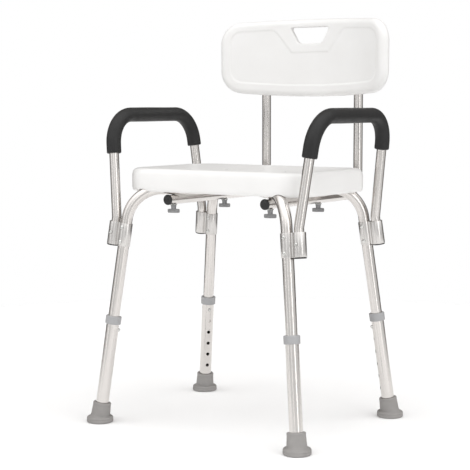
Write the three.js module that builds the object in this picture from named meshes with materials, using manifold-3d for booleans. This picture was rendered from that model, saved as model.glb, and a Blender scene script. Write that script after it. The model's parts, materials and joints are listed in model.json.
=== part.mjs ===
// A height-adjustable shower chair: a moulded seat on two crossed leg frames, telescoping feet,
// two lift-out armrests with foam grips, and a moulded backrest on two L-shaped posts.
// Millimetres, +Z up, the sitter faces -Y. Lengths are the chair at its tallest setting.
import * as THREE from 'three';
import { mergeVertices } from 'three/addons/utils/BufferGeometryUtils.js';
import Module from 'manifold-3d';

const wasm = await Module();
wasm.setup();

// ---- driving dimensions -------------------------------------------------------------------
const GAP = 0.3;                  // clearance between pieces that touch
const WALL = 1.2;                 // aluminium tube wall
const SIDES = 12;                 // flats round a tube

const FOOT_X = 232.7;             // leg centreline on the floor
const FOOT_Y = 182.3;
const LEAN_X = 0.113;             // how far a leg leans in, per unit of height
const LEAN_Y = 0.087;
const LEG_R = 11.1;               // 7/8 in upper leg tube
const SHIN_R = 12.7;              // 1 in lower leg tube
const HOLE_PITCH = 25.4;          // between height settings
const HOLE_COUNT = 6;
const TOP_HOLE_Z = 186.8;
const LEG_END_Z = 149.5;          // lower end of the upper leg tube
const SHIN_TOP_Z = 211.5;
const SHIN_END_Z = 10.6;

const RUN_Z = 467.6;              // crossed tubes under the seat
const LEG_BEND_R = 70;
const CROSS_HALF = LEG_R / 2;     // each frame is pressed to half height where they cross

const SLEEVE_R = 12.7;            // double sleeve that holds leg and armrest side by side
const SLEEVE_PITCH = 26.2;
const SLEEVE_LOW = 354.3;
const SLEEVE_HIGH = 399.6;

const ARM_R = 9.525;              // 3/4 in armrest and back tubes
const ARM_TOP_X = 236.4;
const ARM_TOP_Z = 613.6;
const ARM_FRONT_Y = -128;
const ARM_REAR_Y = 138;
const ARM_BENDS = [64, 58];       // front, rear
const GRIP_R = 14.7;
const GRIP_FRONT_Z = 537;
const GRIP_REAR_Z = 546;

const POST_X = 114;               // L-shaped back tubes
const POST_Y = 252;
const POST_TOP_Z = 762;
const BACK_TUBE_FRONT_Y = -107;
const BACK_TUBE_Z = RUN_Z - LEG_R - GAP - ARM_R;
const POST_BEND_R = 50;

const KNOB_Y = POST_X * FOOT_Y / FOOT_X;   // where a back tube passes under a leg frame
const STUD_R = 3;

const SEAT_HALF_X = 210.5;
const SEAT_HALF_Y = 135;
const SEAT_Y = 2;
const SEAT_CORNER_R = 52;
const SEAT_BOTTOM_Z = 463;
const SEAT_TOP_Z = 508.5;
const SEAT_FLOOR_Z = RUN_Z + LEG_R + GAP;  // underside that rests on the crossed tubes
const SEAT_RIM = 16;
const PLASTIC_WALL = 3;

const BACK_R = 450;               // the backrest curves round the sitter
const BACK_Y = 256;               // middle of its thickness, on the centre line
const BACK_T = 24;
const BACK_HALF = 210.4;          // half its width along the curve
const SOCKET_R = 13.2;            // outside of the sockets moulded on its back
const BACK_TOP_Z = 814.5;
const BACK_BOTTOM_Z = 651;
const HANDLE_TOP_Z = 797;
const HANDLE_BOTTOM_Z = 763.5;
const HANDLE_WEB = 12;            // thickness of the plastic round the hand hole

const FLANGE_R = 26.5;            // rubber foot on the floor
const PAD_Z = 5;                  // height at which the leg's centreline passes the foot's middle
const FRONT_REACH = FOOT_Y - LEAN_Y * PAD_Z + FLANGE_R;
const MID_Y = (BACK_Y + BACK_T / 2 - FRONT_REACH) / 2;

const CORNERS = [
  { name: 'front_left', sx: -1, sy: -1 },
  { name: 'front_right', sx: 1, sy: -1 },
  { name: 'rear_left', sx: -1, sy: 1 },
  { name: 'rear_right', sx: 1, sy: 1 },
];
const HANDS = [{ name: 'left', sx: -1 }, { name: 'right', sx: 1 }];

// ---- finishes -----------------------------------------------------------------------------
const finish = (color, roughness, metalness = 0) => ({ color, roughness, metalness });
const ALUMINIUM = finish(0xc9c7c4, 0.32, 1);
const STEEL = finish(0xd2d2d0, 0.22, 1);
const BRASS = finish(0xb79a5b, 0.35, 1);
const WHITE = finish(0xf1f0ee, 0.42);
const GREY_RUBBER = finish(0x9b9b9a, 0.75);
const GREY_PLASTIC = finish(0x96979a, 0.55);
const KNOB_GREY = finish(0x55585b, 0.5);
const BLACK_FOAM = finish(0x2e2f30, 0.95);
const BLACK_PLASTIC = finish(0x1a1a1b, 0.6);

const chair = new THREE.Group();
chair.position.y = -MID_Y;

/** Hangs a finished shape on the chair under a name a person would use. */
function add(name, geometry, look) {
  const mesh = new THREE.Mesh(geometry, new THREE.MeshStandardMaterial(look));
  mesh.name = name;
  chair.add(mesh);
}

// ---- solids -------------------------------------------------------------------------------
const v3 = (x, y, z) => new THREE.Vector3(x, y, z);

/** A closed geometry as a solid that can be joined and cut. */
function solid(geometry) {
  const bare = geometry.clone();
  bare.deleteAttribute('normal');
  bare.deleteAttribute('uv');
  const merged = mergeVertices(bare, 1e-4);
  return new wasm.Manifold(new wasm.Mesh({
    numProp: 3,
    vertProperties: merged.attributes.position.array,
    triVerts: new Uint32Array(merged.index.array),
  }));
}

/** A solid as a geometry again. */
function geometryOf(body) {
  const mesh = body.getMesh();
  const geometry = new THREE.BufferGeometry();
  geometry.setAttribute('position', new THREE.BufferAttribute(mesh.vertProperties, 3));
  geometry.setIndex(new THREE.BufferAttribute(mesh.triVerts, 1));
  return geometry;
}

/** One geometry with others cut out of it. */
function cut(geometry, tools) {
  return geometryOf(tools.reduce((body, tool) => body.subtract(solid(tool)), solid(geometry)));
}

/** Several overlapping geometries joined into one. */
function join(...geometries) {
  return geometryOf(geometries.map(solid).reduce((body, next) => body.add(next)));
}

/** Stands a shape made along +Z at a point, turned to a direction. */
function stand(geometry, point, direction) {
  const turn = new THREE.Quaternion().setFromUnitVectors(v3(0, 0, 1), direction.clone().normalize());
  return geometry.applyQuaternion(turn).translate(point.x, point.y, point.z);
}

/** A round profile of [radius, height] points turned about +Z. */
function turned(profile, sides) {
  const points = profile.map(([r, z]) => new THREE.Vector2(r, z));
  return new THREE.LatheGeometry(points, sides).rotateX(Math.PI / 2);
}

/** A round bar between two points. */
function bar(from, to, radius, sides) {
  const along = to.clone().sub(from);
  return stand(turned([[0, 0], [radius, 0], [radius, along.length()], [0, along.length()]], sides), from, along);
}

/** The radius of a bore whose flats clear a true circle of the given radius. */
function clear(radius, sides = SIDES) {
  return radius / Math.cos(Math.PI / sides);
}

/** A round hole's cutting bar. */
function drill(from, to, radius, sides = 6) {
  return bar(from, to, clear(radius, sides), sides);
}

/** A bent centreline that is sampled only where the caller asks. */
class Centreline extends THREE.Curve {
  constructor(stations) {
    super();
    this.stations = stations;
  }

  getUtoTmapping(u) {
    return u;
  }

  station(t) {
    return this.stations[Math.round(t * (this.stations.length - 1))];
  }

  getPoint(t, target = new THREE.Vector3()) {
    return target.copy(this.station(t).point);
  }

  getTangent(t, target = new THREE.Vector3()) {
    return target.copy(this.station(t).tangent);
  }
}

/** Stations along straight runs whose corners are rounded by arcs of the given radii. */
function bentPath(corners, radii, steps = 5) {
  const last = corners.length - 1;
  const direction = (i) => corners[i + 1].clone().sub(corners[i]).normalize();
  const stations = [{ point: corners[0].clone(), tangent: direction(0) }];
  for (let i = 1; i < last; i += 1) {
    const [before, after] = [direction(i - 1), direction(i)];
    const angle = before.angleTo(after);
    const reach = radii[i - 1] * Math.tan(angle / 2);
    const side = after.clone().addScaledVector(before, -Math.cos(angle)).normalize();
    const count = Math.ceil(steps * angle / (Math.PI / 2));
    for (let k = 0; k <= count; k += 1) {
      const a = angle * k / count;
      const point = corners[i].clone().addScaledVector(before, radii[i - 1] * Math.sin(a) - reach)
        .addScaledVector(side, radii[i - 1] * (1 - Math.cos(a)));
      const tangent = before.clone().multiplyScalar(Math.cos(a)).addScaledVector(side, Math.sin(a));
      stations.push({ point, tangent });
    }
  }
  stations.push({ point: corners[last].clone(), tangent: direction(last - 1) });
  return stations;
}

/** A tube along stations, or a bar when inner is 0. */
function tube(stations, outer, inner, sides) {
  const section = new THREE.Shape().absarc(0, 0, outer, 0, 2 * Math.PI);
  if (inner > 0) {
    section.holes.push(new THREE.Path().absarc(0, 0, inner, 0, 2 * Math.PI));
  }
  return new THREE.ExtrudeGeometry(section, {
    steps: stations.length - 1, extrudePath: new Centreline(stations), curveSegments: sides / 2,
  });
}

/** A closed skin over rings of equally many points, with a flat fan over each end. */
function loft(rings) {
  const count = rings[0].length;
  const positions = rings.flat().flatMap((p) => [p.x, p.y, p.z]);
  const index = [];
  for (let i = 0; i + 1 < rings.length; i += 1) {
    for (let j = 0; j < count; j += 1) {
      const [a, b] = [i * count + j, i * count + (j + 1) % count];
      index.push(a, b, a + count, b, b + count, a + count);
    }
  }
  const top = (rings.length - 1) * count;
  for (let j = 1; j + 1 < count; j += 1) {
    index.push(0, j + 1, j, top, top + j, top + j + 1);
  }
  const geometry = new THREE.BufferGeometry();
  geometry.setAttribute('position', new THREE.Float32BufferAttribute(positions, 3));
  geometry.setIndex(index);
  return geometry.toNonIndexed();
}

// ---- legs ---------------------------------------------------------------------------------
/** A point on a leg's centreline at a height. */
function legPoint({ sx, sy }, z) {
  return v3(sx * (FOOT_X - LEAN_X * z), sy * (FOOT_Y - LEAN_Y * z), z);
}

/** The upward direction of a leg. */
function legUp(corner) {
  return legPoint(corner, 1).sub(legPoint(corner, 0)).normalize();
}

/** The direction from a leg towards the middle of the chair, square to the leg. */
function legInward(corner) {
  const inward = v3(-corner.sx * FOOT_X, -corner.sy * FOOT_Y, 0).normalize();
  const up = legUp(corner);
  return inward.addScaledVector(up, -inward.dot(up)).normalize();
}

/** The direction to the front, square to the leg. */
function legFront(corner) {
  const up = legUp(corner);
  return v3(0, -1, 0).addScaledVector(up, up.y).normalize();
}

/** The direction to the outer side of the chair, square to the leg. */
function legOutward(corner) {
  const up = legUp(corner);
  return v3(corner.sx, 0, 0).addScaledVector(up, -corner.sx * up.x).normalize();
}

/** The point of the armrest's half of a double sleeve beside a height on the leg. */
function armPoint(corner, z) {
  return legPoint(corner, z).addScaledVector(legOutward(corner), SLEEVE_PITCH);
}

const BUTTON_R = 3.2;
const BUTTON_HOLE_R = 3.6;

/** Places of the two rivets of a sleeve, on the centreline of its leg. */
function rivetHeights() {
  return [SLEEVE_LOW + 8, SLEEVE_HIGH - 8];
}

/** Cutting bars for the rivets of one sleeve. */
function rivetHoles(corner) {
  return rivetHeights().map((z) => {
    const centre = legPoint(corner, z);
    return drill(centre, centre.clone().addScaledVector(legFront(corner), 2 * SLEEVE_R), 2.6);
  });
}

/** Pushes the middle of a leg frame to half height, bulging sideways, and lifts or lowers it. */
function pressFlat(geometry, side) {
  const across = v3(-FOOT_Y, FOOT_X * side, 0).normalize();
  const position = geometry.attributes.position;
  for (let i = 0; i < position.count; i += 1) {
    const p = new THREE.Vector3().fromBufferAttribute(position, i);
    const amount = THREE.MathUtils.smoothstep(-Math.hypot(p.x, p.y), -48, -24);
    const offset = p.dot(across);
    p.addScaledVector(across, 0.3 * amount * offset);
    p.z += amount * (0.5 * (RUN_Z - p.z) + side * (CROSS_HALF + GAP / 2));
    position.setXYZ(i, p.x, p.y, p.z);
  }
  return geometry;
}

/** Two legs and the run between them under the seat, bent from one tube. */
function legFrame(from, to, side) {
  const corners = [legPoint(from, LEG_END_Z), legPoint(from, RUN_Z), legPoint(to, RUN_Z), legPoint(to, LEG_END_Z)];
  const stations = bentPath(corners, [LEG_BEND_R, LEG_BEND_R], 6);
  const along = legPoint(to, RUN_Z).sub(legPoint(from, RUN_Z)).normalize();
  const middle = [-48, -36, -24, 24, 36, 48].map((d) => ({
    point: v3(0, 0, RUN_Z).addScaledVector(along, d), tangent: along,
  }));
  stations.splice(stations.length / 2, 0, ...middle);
  const frame = pressFlat(tube(stations, LEG_R, LEG_R - WALL, SIDES), side);
  const tools = [from, to].flatMap((corner) => {
    const button = legPoint(corner, TOP_HOLE_Z);
    const bolt = v3(corner.sx * POST_X, corner.sy * KNOB_Y, RUN_Z);
    return [
      drill(button, button.clone().addScaledVector(legInward(corner), 2 * LEG_R), BUTTON_HOLE_R),
      drill(bolt.clone().setZ(RUN_Z - 2 * LEG_R), bolt.clone().setZ(RUN_Z + 2 * LEG_R), STUD_R + 0.5),
      ...rivetHoles(corner),
    ];
  });
  return cut(frame, tools);
}

/** The lower leg tube, with a row of holes facing the middle of the chair. */
function lowerLeg(corner) {
  const shaft = tube(
    bentPath([legPoint(corner, SHIN_END_Z), legPoint(corner, SHIN_TOP_Z)], []), SHIN_R, clear(LEG_R + GAP), SIDES);
  const holes = [];
  for (let i = 0; i < HOLE_COUNT; i += 1) {
    const centre = legPoint(corner, TOP_HOLE_Z).addScaledVector(legUp(corner), -i * HOLE_PITCH);
    holes.push(drill(centre, centre.clone().addScaledVector(legInward(corner), 2 * SHIN_R), BUTTON_HOLE_R));
  }
  return cut(shaft, holes);
}

/** The ring that caps the lower tube and steadies the upper one. */
function collar(corner) {
  const [outer, seat, lip] = [15.65, clear(SHIN_R + GAP, 16), clear(LEG_R + GAP, 16)];
  const shape = turned([
    [seat, -13.2], [outer - 0.8, -13.2], [outer, -12.4], [outer, 2], [outer - 0.9, 2.9],
    [lip, 2.9], [lip, GAP], [seat, GAP], [seat, -13.2],
  ], 16);
  return stand(shape, legPoint(corner, SHIN_TOP_Z), legUp(corner));
}

/** The rubber foot: a wide pad flat on the floor and a cone up the tube. */
function foot(corner) {
  const base = legPoint(corner, PAD_Z);
  const pad = turned([[0, 0], [FLANGE_R - 0.8, 0], [FLANGE_R, 0.8], [FLANGE_R, 7],
    [FLANGE_R - 1.6, 10.2], [FLANGE_R - 5, 11.6], [0, 11.6]], 20).translate(base.x, base.y, 0);
  const cone = stand(turned([[0, 0], [19.2, 0], [17.6, 30.5], [16.6, 32], [0, 32]], 16),
    legPoint(corner, 8), legUp(corner));
  const bore = drill(legPoint(corner, SHIN_END_Z - GAP), legPoint(corner, 60), SHIN_R + GAP, SIDES);
  return cut(join(pad, cone), [bore]);
}

/** A round button on a folded leaf spring inside a tube, pointing out through its wall. */
function snapButton(centre, up, outward, bore, tip, travel) {
  const leaf = bore - 1;
  const far = travel + 1.3 - bore;
  const middle = (leaf + far) / 2;
  const low = -11;
  const profile = new THREE.Shape();
  profile.moveTo(leaf, 7);
  profile.lineTo(leaf, low);
  profile.absarc(middle, low, leaf - middle, 0, -Math.PI, true);
  profile.lineTo(far, 7);
  profile.lineTo(far + 0.8, 7);
  profile.lineTo(far + 0.8, low);
  profile.absarc(middle, low, leaf - middle - 0.8, -Math.PI, 0, false);
  profile.lineTo(leaf - 0.8, 7);
  profile.closePath();
  const spring = new THREE.ExtrudeGeometry(profile, { depth: 6, bevelEnabled: false, curveSegments: 3 });
  spring.translate(0, 0, -3);
  const pin = turned([[0, 0], [BUTTON_R, 0], [BUTTON_R, tip - leaf - 0.9], [BUTTON_R - 0.9, tip - leaf + 0.2],
    [0, tip - leaf + 0.5]], 8);
  pin.rotateY(Math.PI / 2).translate(leaf - 0.5, 0, 0);
  const side = outward.clone().cross(up);
  const turn = new THREE.Matrix4().makeBasis(outward, up, side).setPosition(centre);
  return join(spring, pin).applyMatrix4(turn);
}

/** A domed rivet through the sleeve and the leg tube, facing the front. */
function rivet(corner, z) {
  const centre = legPoint(corner, z);
  const face = SLEEVE_R + 0.15;
  const inside = LEG_R - WALL - 0.45;
  const shape = turned([[0, inside - 1.6], [2.2, inside - 1.3], [2.2, face], [4, face],
    [3.2, face + 1.6], [0, face + 2.3]], 8);
  return stand(shape, centre, legFront(corner));
}

// ---- double sleeves -----------------------------------------------------------------------
/** Leans an upright shape over with a leg, its +X side outwards, and moves it to a point. */
function leanOver(geometry, corner, point) {
  const up = legUp(corner);
  const outward = legOutward(corner);
  const turn = new THREE.Matrix4().makeBasis(outward, up.clone().cross(outward), up);
  return geometry.applyMatrix4(turn).translate(point.x, point.y, point.z);
}

/** A figure-eight extrusion that grips the leg and holds the armrest's tube beside it. */
function doubleSleeve(corner) {
  const neck = THREE.MathUtils.degToRad(24);
  const outline = new THREE.Shape();
  outline.absarc(0, 0, SLEEVE_R, neck, 2 * Math.PI - neck, false);
  outline.absarc(SLEEVE_PITCH, 0, SLEEVE_R, neck - Math.PI, Math.PI - neck, false);
  outline.closePath();
  const bores = [[0, LEG_R], [SLEEVE_PITCH, ARM_R]];
  for (const [x, radius] of bores) {
    outline.holes.push(new THREE.Path().absarc(x, 0, clear(radius + GAP, 14), 0, 2 * Math.PI));
  }
  const sleeve = new THREE.ExtrudeGeometry(outline, {
    depth: legPoint(corner, SLEEVE_LOW).distanceTo(legPoint(corner, SLEEVE_HIGH)),
    bevelEnabled: false,
    curveSegments: 7,
  });
  leanOver(sleeve, corner, legPoint(corner, SLEEVE_LOW));
  const button = armButtonCentre(corner);
  const buttonHole = drill(button, button.clone().addScaledVector(legFront(corner), 2 * SLEEVE_R), BUTTON_HOLE_R);
  return cut(sleeve, [...rivetHoles(corner), ...(corner.sy < 0 ? [buttonHole] : [])]);
}

/** Where the armrest's snap button crosses its tube. */
function armButtonCentre(corner) {
  return armPoint(corner, SLEEVE_LOW + 24);
}

/** The plug under an armrest's half of the sleeve. */
function sleevePlug(corner) {
  const shape = turned([[0, -2.5], [11.2, -2.5], [12.1, -1.7], [12.1, -GAP], [9.3, -GAP], [9.3, 4.6], [0, 4.6]], 12);
  return leanOver(shape, corner, armPoint(corner, SLEEVE_LOW));
}

// ---- armrests -----------------------------------------------------------------------------
/** Corner points of one armrest's centreline, from its front sleeve to its rear one. */
function armCorners(sx) {
  const front = { sx, sy: -1 };
  const rear = { sx, sy: 1 };
  return [
    armPoint(front, SLEEVE_LOW + 7), armPoint(front, SLEEVE_HIGH + 8),
    v3(sx * ARM_TOP_X, ARM_FRONT_Y, ARM_TOP_Z), v3(sx * ARM_TOP_X, ARM_REAR_Y, ARM_TOP_Z),
    armPoint(rear, SLEEVE_HIGH + 8), armPoint(rear, SLEEVE_LOW + 7),
  ];
}

/** A bent tube that stands in two sleeves. */
function armrest(sx) {
  const stations = bentPath(armCorners(sx), [30, ...ARM_BENDS, 30]);
  const corner = { sx, sy: -1 };
  const button = armButtonCentre(corner);
  const hole = drill(button, button.clone().addScaledVector(legFront(corner), 2 * ARM_R), BUTTON_HOLE_R);
  return cut(tube(stations, ARM_R, ARM_R - WALL, SIDES), [hole]);
}

/** The point of a straight run at a height. */
function atHeight(from, to, z) {
  return from.clone().lerp(to, (z - from.z) / (to.z - from.z));
}

/** The foam sleeve over the top of an armrest. */
function grip(sx) {
  const [, low, front, rear, end] = armCorners(sx);
  const corners = [atHeight(low, front, GRIP_FRONT_Z), front, rear, atHeight(end, rear, GRIP_REAR_Z)];
  return tube(bentPath(corners, ARM_BENDS), GRIP_R, clear(ARM_R + GAP), SIDES);
}

// ---- back tubes and knobs -----------------------------------------------------------------
const POST_BUTTON_Z = BACK_BOTTOM_Z + 16;

/** An L-shaped tube that runs under the seat and stands up behind it. */
function backTube(sx) {
  const x = sx * POST_X;
  const corners = [v3(x, BACK_TUBE_FRONT_Y, BACK_TUBE_Z), v3(x, POST_Y, BACK_TUBE_Z), v3(x, POST_Y, POST_TOP_Z)];
  const bolts = [-KNOB_Y, KNOB_Y].map((y) => drill(
    v3(x, y, BACK_TUBE_Z - 2 * ARM_R), v3(x, y, BACK_TUBE_Z + 2 * ARM_R), STUD_R + 0.5));
  const hole = drill(v3(x, POST_Y, POST_BUTTON_Z), v3(x, POST_Y + 2 * ARM_R, POST_BUTTON_Z), BUTTON_HOLE_R);
  return cut(tube(bentPath(corners, [POST_BEND_R]), ARM_R, ARM_R - WALL, SIDES), [...bolts, hole]);
}

/** The cap in the front end of a back tube. */
function endCap(sx) {
  const shape = turned([[0, -10], [7.9, -10], [7.9, GAP], [10.5, GAP], [10.5, 2.2], [9.2, 3.4], [0, 3.4]], 12);
  return stand(shape, v3(sx * POST_X, BACK_TUBE_FRONT_Y, BACK_TUBE_Z), v3(0, -1, 0));
}

const WASHER_T = 1.2;
const WASHER_Z = BACK_TUBE_Z - ARM_R - GAP - WASHER_T;
const STUD_TOP_Z = SEAT_FLOOR_Z + 11;

/** The washer between a knob and the back tube. */
function knobWasher(corner) {
  const profile = [[STUD_R + 0.4, 0], [7, 0], [7, WASHER_T], [STUD_R + 0.4, WASHER_T], [STUD_R + 0.4, 0]];
  return turned(profile, 12).translate(corner.sx * POST_X, corner.sy * KNOB_Y, WASHER_Z);
}

/** A T-shaped knob on a threaded stud that reaches up into the seat. */
function knob(corner) {
  const top = WASHER_Z - GAP;
  const stem = turned([[0, -15], [5.5, -15], [5.5, 0], [STUD_R, 0], [STUD_R, STUD_TOP_Z - top - 0.6],
    [STUD_R - 0.7, STUD_TOP_Z - top], [0, STUD_TOP_Z - top]], 10);
  const wing = new THREE.Shape();
  wing.moveTo(-12, -3.2);
  wing.lineTo(-4, -5.5);
  wing.lineTo(4, -5.5);
  wing.lineTo(12, -3.2);
  wing.lineTo(12, 3.2);
  wing.lineTo(4, 5.5);
  wing.lineTo(-4, 5.5);
  wing.lineTo(-12, 3.2);
  wing.closePath();
  const blade = new THREE.ExtrudeGeometry(wing, {
    depth: 6, bevelEnabled: true, bevelThickness: 0.8, bevelSize: 0.8, bevelSegments: 1, bevelOffset: -0.8,
  });
  blade.translate(0, 0, -14.7);
  const whole = join(stem, blade);
  whole.rotateZ(THREE.MathUtils.degToRad(20));
  return whole.translate(corner.sx * POST_X, corner.sy * KNOB_Y, top);
}

/** The threaded brass nut moulded into the seat above a knob. */
function seatNut(corner) {
  const profile = [[STUD_R + GAP, 0], [5.4, 0], [5.4, 9.5], [STUD_R + GAP, 9.5], [STUD_R + GAP, 0]];
  return turned(profile, 8).translate(corner.sx * POST_X, corner.sy * KNOB_Y, SEAT_FLOOR_Z + 0.4);
}

// ---- seat ---------------------------------------------------------------------------------
/** A rectangle with round corners as a ring of points at a height. */
function seatRing(inset, z, steps = 4) {
  const [hx, hy, r] = [SEAT_HALF_X - inset, SEAT_HALF_Y - inset, Math.max(SEAT_CORNER_R - 0.6 * inset, 8)];
  const ring = [];
  for (let quarter = 0; quarter < 4; quarter += 1) {
    const sx = quarter === 0 || quarter === 3 ? 1 : -1;
    const sy = quarter < 2 ? 1 : -1;
    for (let k = 0; k <= steps; k += 1) {
      const a = (quarter + k / steps) * Math.PI / 2;
      ring.push(v3(sx * (hx - r) + r * Math.cos(a), SEAT_Y + sy * (hy - r) + r * Math.sin(a), z));
    }
  }
  return ring;
}

/** The seat's outer form, drawn in by a wall thickness for its inner one. */
function seatForm(wall) {
  const levels = [[5, 0], [1, 2.5], [0, 12], [0, 31], [1.5, 38.5], [5, 43.4], [10.5, 45.5],
    [24, 44], [56, 40], [104, 38]];
  const low = wall;
  const high = SEAT_TOP_Z - SEAT_BOTTOM_Z - wall;
  return loft(levels.map(([inset, h]) => seatRing(inset + wall, SEAT_BOTTOM_Z + Math.max(low, Math.min(h, high)
    - (h > 40 || inset > 20 ? wall * 0.6 : 0)))));
}

const DRAINS = [[0, 62], [0, -58], [70, 32], [70, -28], [140, 2]];

/** The hollow moulded seat: channels for the tubes below, drain holes through, nuts' pockets. */
function seat() {
  const grow = (extra) => CORNERS.map((corner) => {
    const inner = legPoint(corner, RUN_Z).multiplyScalar(0.6).setZ(RUN_Z);
    const path = bentPath([legPoint(corner, 400), legPoint(corner, RUN_Z), inner], [LEG_BEND_R], 5);
    return tube(path, clear(LEG_R + extra, 8), 0, 8);
  });
  const recess = (wall) => loft([
    seatRing(SEAT_RIM - wall, SEAT_BOTTOM_Z - 8), seatRing(SEAT_RIM - wall, SEAT_FLOOR_Z + wall)]);
  const drains = DRAINS.flatMap(([x, y]) => (x ? [[x, y], [-x, y]] : [[x, y]]));
  const pillar = (x, y, r, low, high, sides = 6) => bar(v3(x, y, low), v3(x, y, high), r, sides);
  const pockets = CORNERS.map(({ sx, sy }) => [sx * POST_X, sy * KNOB_Y]);
  const hollow = cut(seatForm(PLASTIC_WALL), [
    recess(PLASTIC_WALL), ...grow(PLASTIC_WALL + 1),
    ...drains.map(([x, y]) => pillar(x, y, 7, 440, 520)),
    ...pockets.map(([x, y]) => pillar(x, y, 9, 440, 520)),
  ]);
  return cut(seatForm(0), [
    recess(0), ...grow(1), hollow,
    ...drains.map(([x, y]) => pillar(x, y, 4.2, 440, 520)),
    ...pockets.map(([x, y]) => pillar(x, y, clear(5.7, 6), 470, STUD_TOP_Z + 1.2)),
    pillar(0, 100, 2.5, 470, SEAT_FLOOR_Z + 2 * PLASTIC_WALL),
  ]);
}

// ---- backrest -----------------------------------------------------------------------------
/** How far a rounded corner draws an edge in, this far from the end of a side. */
function cornerDraw(fromEnd, radius) {
  const d = Math.max(0, radius - fromEnd);
  return radius - Math.sqrt(Math.max(0, radius * radius - d * d));
}

/** Wraps a flat place (along, thickness, height) round the backrest's curve. */
function wrap(s, t, z) {
  const a = s / BACK_R;
  return v3((BACK_R + t) * Math.sin(a), BACK_Y - BACK_R + (BACK_R + t) * Math.cos(a), z);
}

/** The backrest's outer form as upright loops from side to side, drawn in by a wall. */
function backForm(wall) {
  const half = BACK_HALF - wall;
  const ends = [1, 0.985, 0.955, 0.91, 0.85, 0.78, 0.68];
  const places = [...ends.map((f) => -f), -0.52, -0.35, -0.18, 0, 0.18, 0.35, 0.52, ...ends.reverse()];
  const rings = places.map((f) => {
    const s = f * half;
    const fromEnd = half - Math.abs(s);
    const top = BACK_TOP_Z - 7 * f * f - wall - cornerDraw(fromEnd, 44);
    const bottom = BACK_BOTTOM_Z + 11 * f * f + wall + cornerDraw(fromEnd, 43);
    const t = Math.max(2, BACK_T / 2 - wall - cornerDraw(fromEnd, 11));
    const r = Math.min(t, 12);
    const ring = [];
    for (const [k, st, sz] of [[0, 1, 1], [1, -1, 1], [2, -1, -1], [3, 1, -1]]) {
      for (let j = 0; j <= 3; j += 1) {
        const a = (k + j / 3) * Math.PI / 2;
        const z = (sz > 0 ? top - r : bottom + r) + r * Math.sin(a);
        ring.push(wrap(s, st * (t - r) + r * Math.cos(a), z));
      }
    }
    return ring;
  });
  return loft(rings);
}

/** The hand hole from one depth to another: wide at the top, narrow at the bottom. */
function handHole(grow, front, rear) {
  const [top, bottom, r] = [HANDLE_TOP_Z + grow, HANDLE_BOTTOM_Z - grow, 8];
  const [wide, narrow] = [49 + grow, 30 + grow];
  const outline = new THREE.Shape();
  outline.moveTo(-narrow + r, bottom);
  outline.lineTo(narrow - r, bottom);
  outline.quadraticCurveTo(narrow, bottom, narrow + 0.42 * r, bottom + 0.9 * r);
  outline.lineTo(wide - 0.5 * r, top - 1.4 * r);
  outline.quadraticCurveTo(wide + 2, top, wide - 1.2 * r, top);
  outline.lineTo(-wide + 1.2 * r, top);
  outline.quadraticCurveTo(-wide - 2, top, -wide + 0.5 * r, top - 1.4 * r);
  outline.lineTo(-narrow - 0.42 * r, bottom + 0.9 * r);
  outline.quadraticCurveTo(-narrow, bottom, -narrow + r, bottom);
  const block = new THREE.ExtrudeGeometry(outline, {
    depth: rear - front, bevelEnabled: false, curveSegments: 4,
  });
  return block.rotateX(Math.PI / 2).translate(0, rear, 0);
}

/** The hollow moulded backrest with two sockets for the posts and a hand hole. */
function backrest() {
  const column = (r, low, high, sides) => HANDS.map(({ sx }) => bar(
    v3(sx * POST_X, POST_Y, low), v3(sx * POST_X, POST_Y, high), r, sides));
  const [near, far] = [BACK_Y - 100, BACK_Y + 100];
  const web = BACK_Y - BACK_T / 2 + HANDLE_WEB;
  const sockets = column(SOCKET_R, BACK_BOTTOM_Z + 4.5, POST_TOP_Z + 6, 16);
  const hollow = cut(backForm(PLASTIC_WALL), [
    ...sockets, ...column(SOCKET_R, BACK_BOTTOM_Z - 9, BACK_BOTTOM_Z + 6, 16),
    handHole(PLASTIC_WALL, near, far), handHole(7 + PLASTIC_WALL, web - PLASTIC_WALL, far)]);
  const buttonHoles = HANDS.map(({ sx }) => drill(
    v3(sx * POST_X, POST_Y, POST_BUTTON_Z), v3(sx * POST_X, POST_Y + 30, POST_BUTTON_Z), BUTTON_HOLE_R));
  return cut(join(backForm(0), ...sockets), [
    hollow, handHole(0, near, far), handHole(7, web, far),
    ...column(clear(ARM_R + 0.5), BACK_BOTTOM_Z - 30, POST_TOP_Z + 1.5, SIDES), ...buttonHoles,
    bar(v3(0, BACK_Y, BACK_BOTTOM_Z - 8), v3(0, BACK_Y, BACK_BOTTOM_Z + 8), 2.5, 6),
  ]);
}

// ---- the chair ----------------------------------------------------------------------------
add('seat', seat(), WHITE);
add('backrest', backrest(), WHITE);
const [FRONT_LEFT, FRONT_RIGHT, REAR_LEFT, REAR_RIGHT] = CORNERS;
add('leg_frame_upper', legFrame(FRONT_LEFT, REAR_RIGHT, 1), ALUMINIUM);
add('leg_frame_lower', legFrame(FRONT_RIGHT, REAR_LEFT, -1), ALUMINIUM);

for (const corner of CORNERS) {
  const { name } = corner;
  const shinBore = LEG_R + GAP;
  const legTip = SHIN_R + 3.4;
  const legPress = legTip - shinBore + 0.4;
  add(`lower_leg_${name}`, lowerLeg(corner), ALUMINIUM);
  add(`collar_${name}`, collar(corner), GREY_PLASTIC);
  add(`foot_${name}`, foot(corner), GREY_RUBBER);
  add(`leg_button_${name}`, snapButton(legPoint(corner, TOP_HOLE_Z), legUp(corner), legInward(corner),
    LEG_R - WALL, legTip, legPress), STEEL);
  add(`double_sleeve_${name}`, doubleSleeve(corner), ALUMINIUM);
  add(`sleeve_plug_${name}`, sleevePlug(corner), BLACK_PLASTIC);
  rivetHeights().forEach((z, i) => add(`rivet_${name}_${i ? 'top' : 'bottom'}`, rivet(corner, z), STEEL));
  add(`knob_${name}`, knob(corner), KNOB_GREY);
  add(`knob_washer_${name}`, knobWasher(corner), STEEL);
  add(`seat_nut_${name}`, seatNut(corner), BRASS);
}

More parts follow.
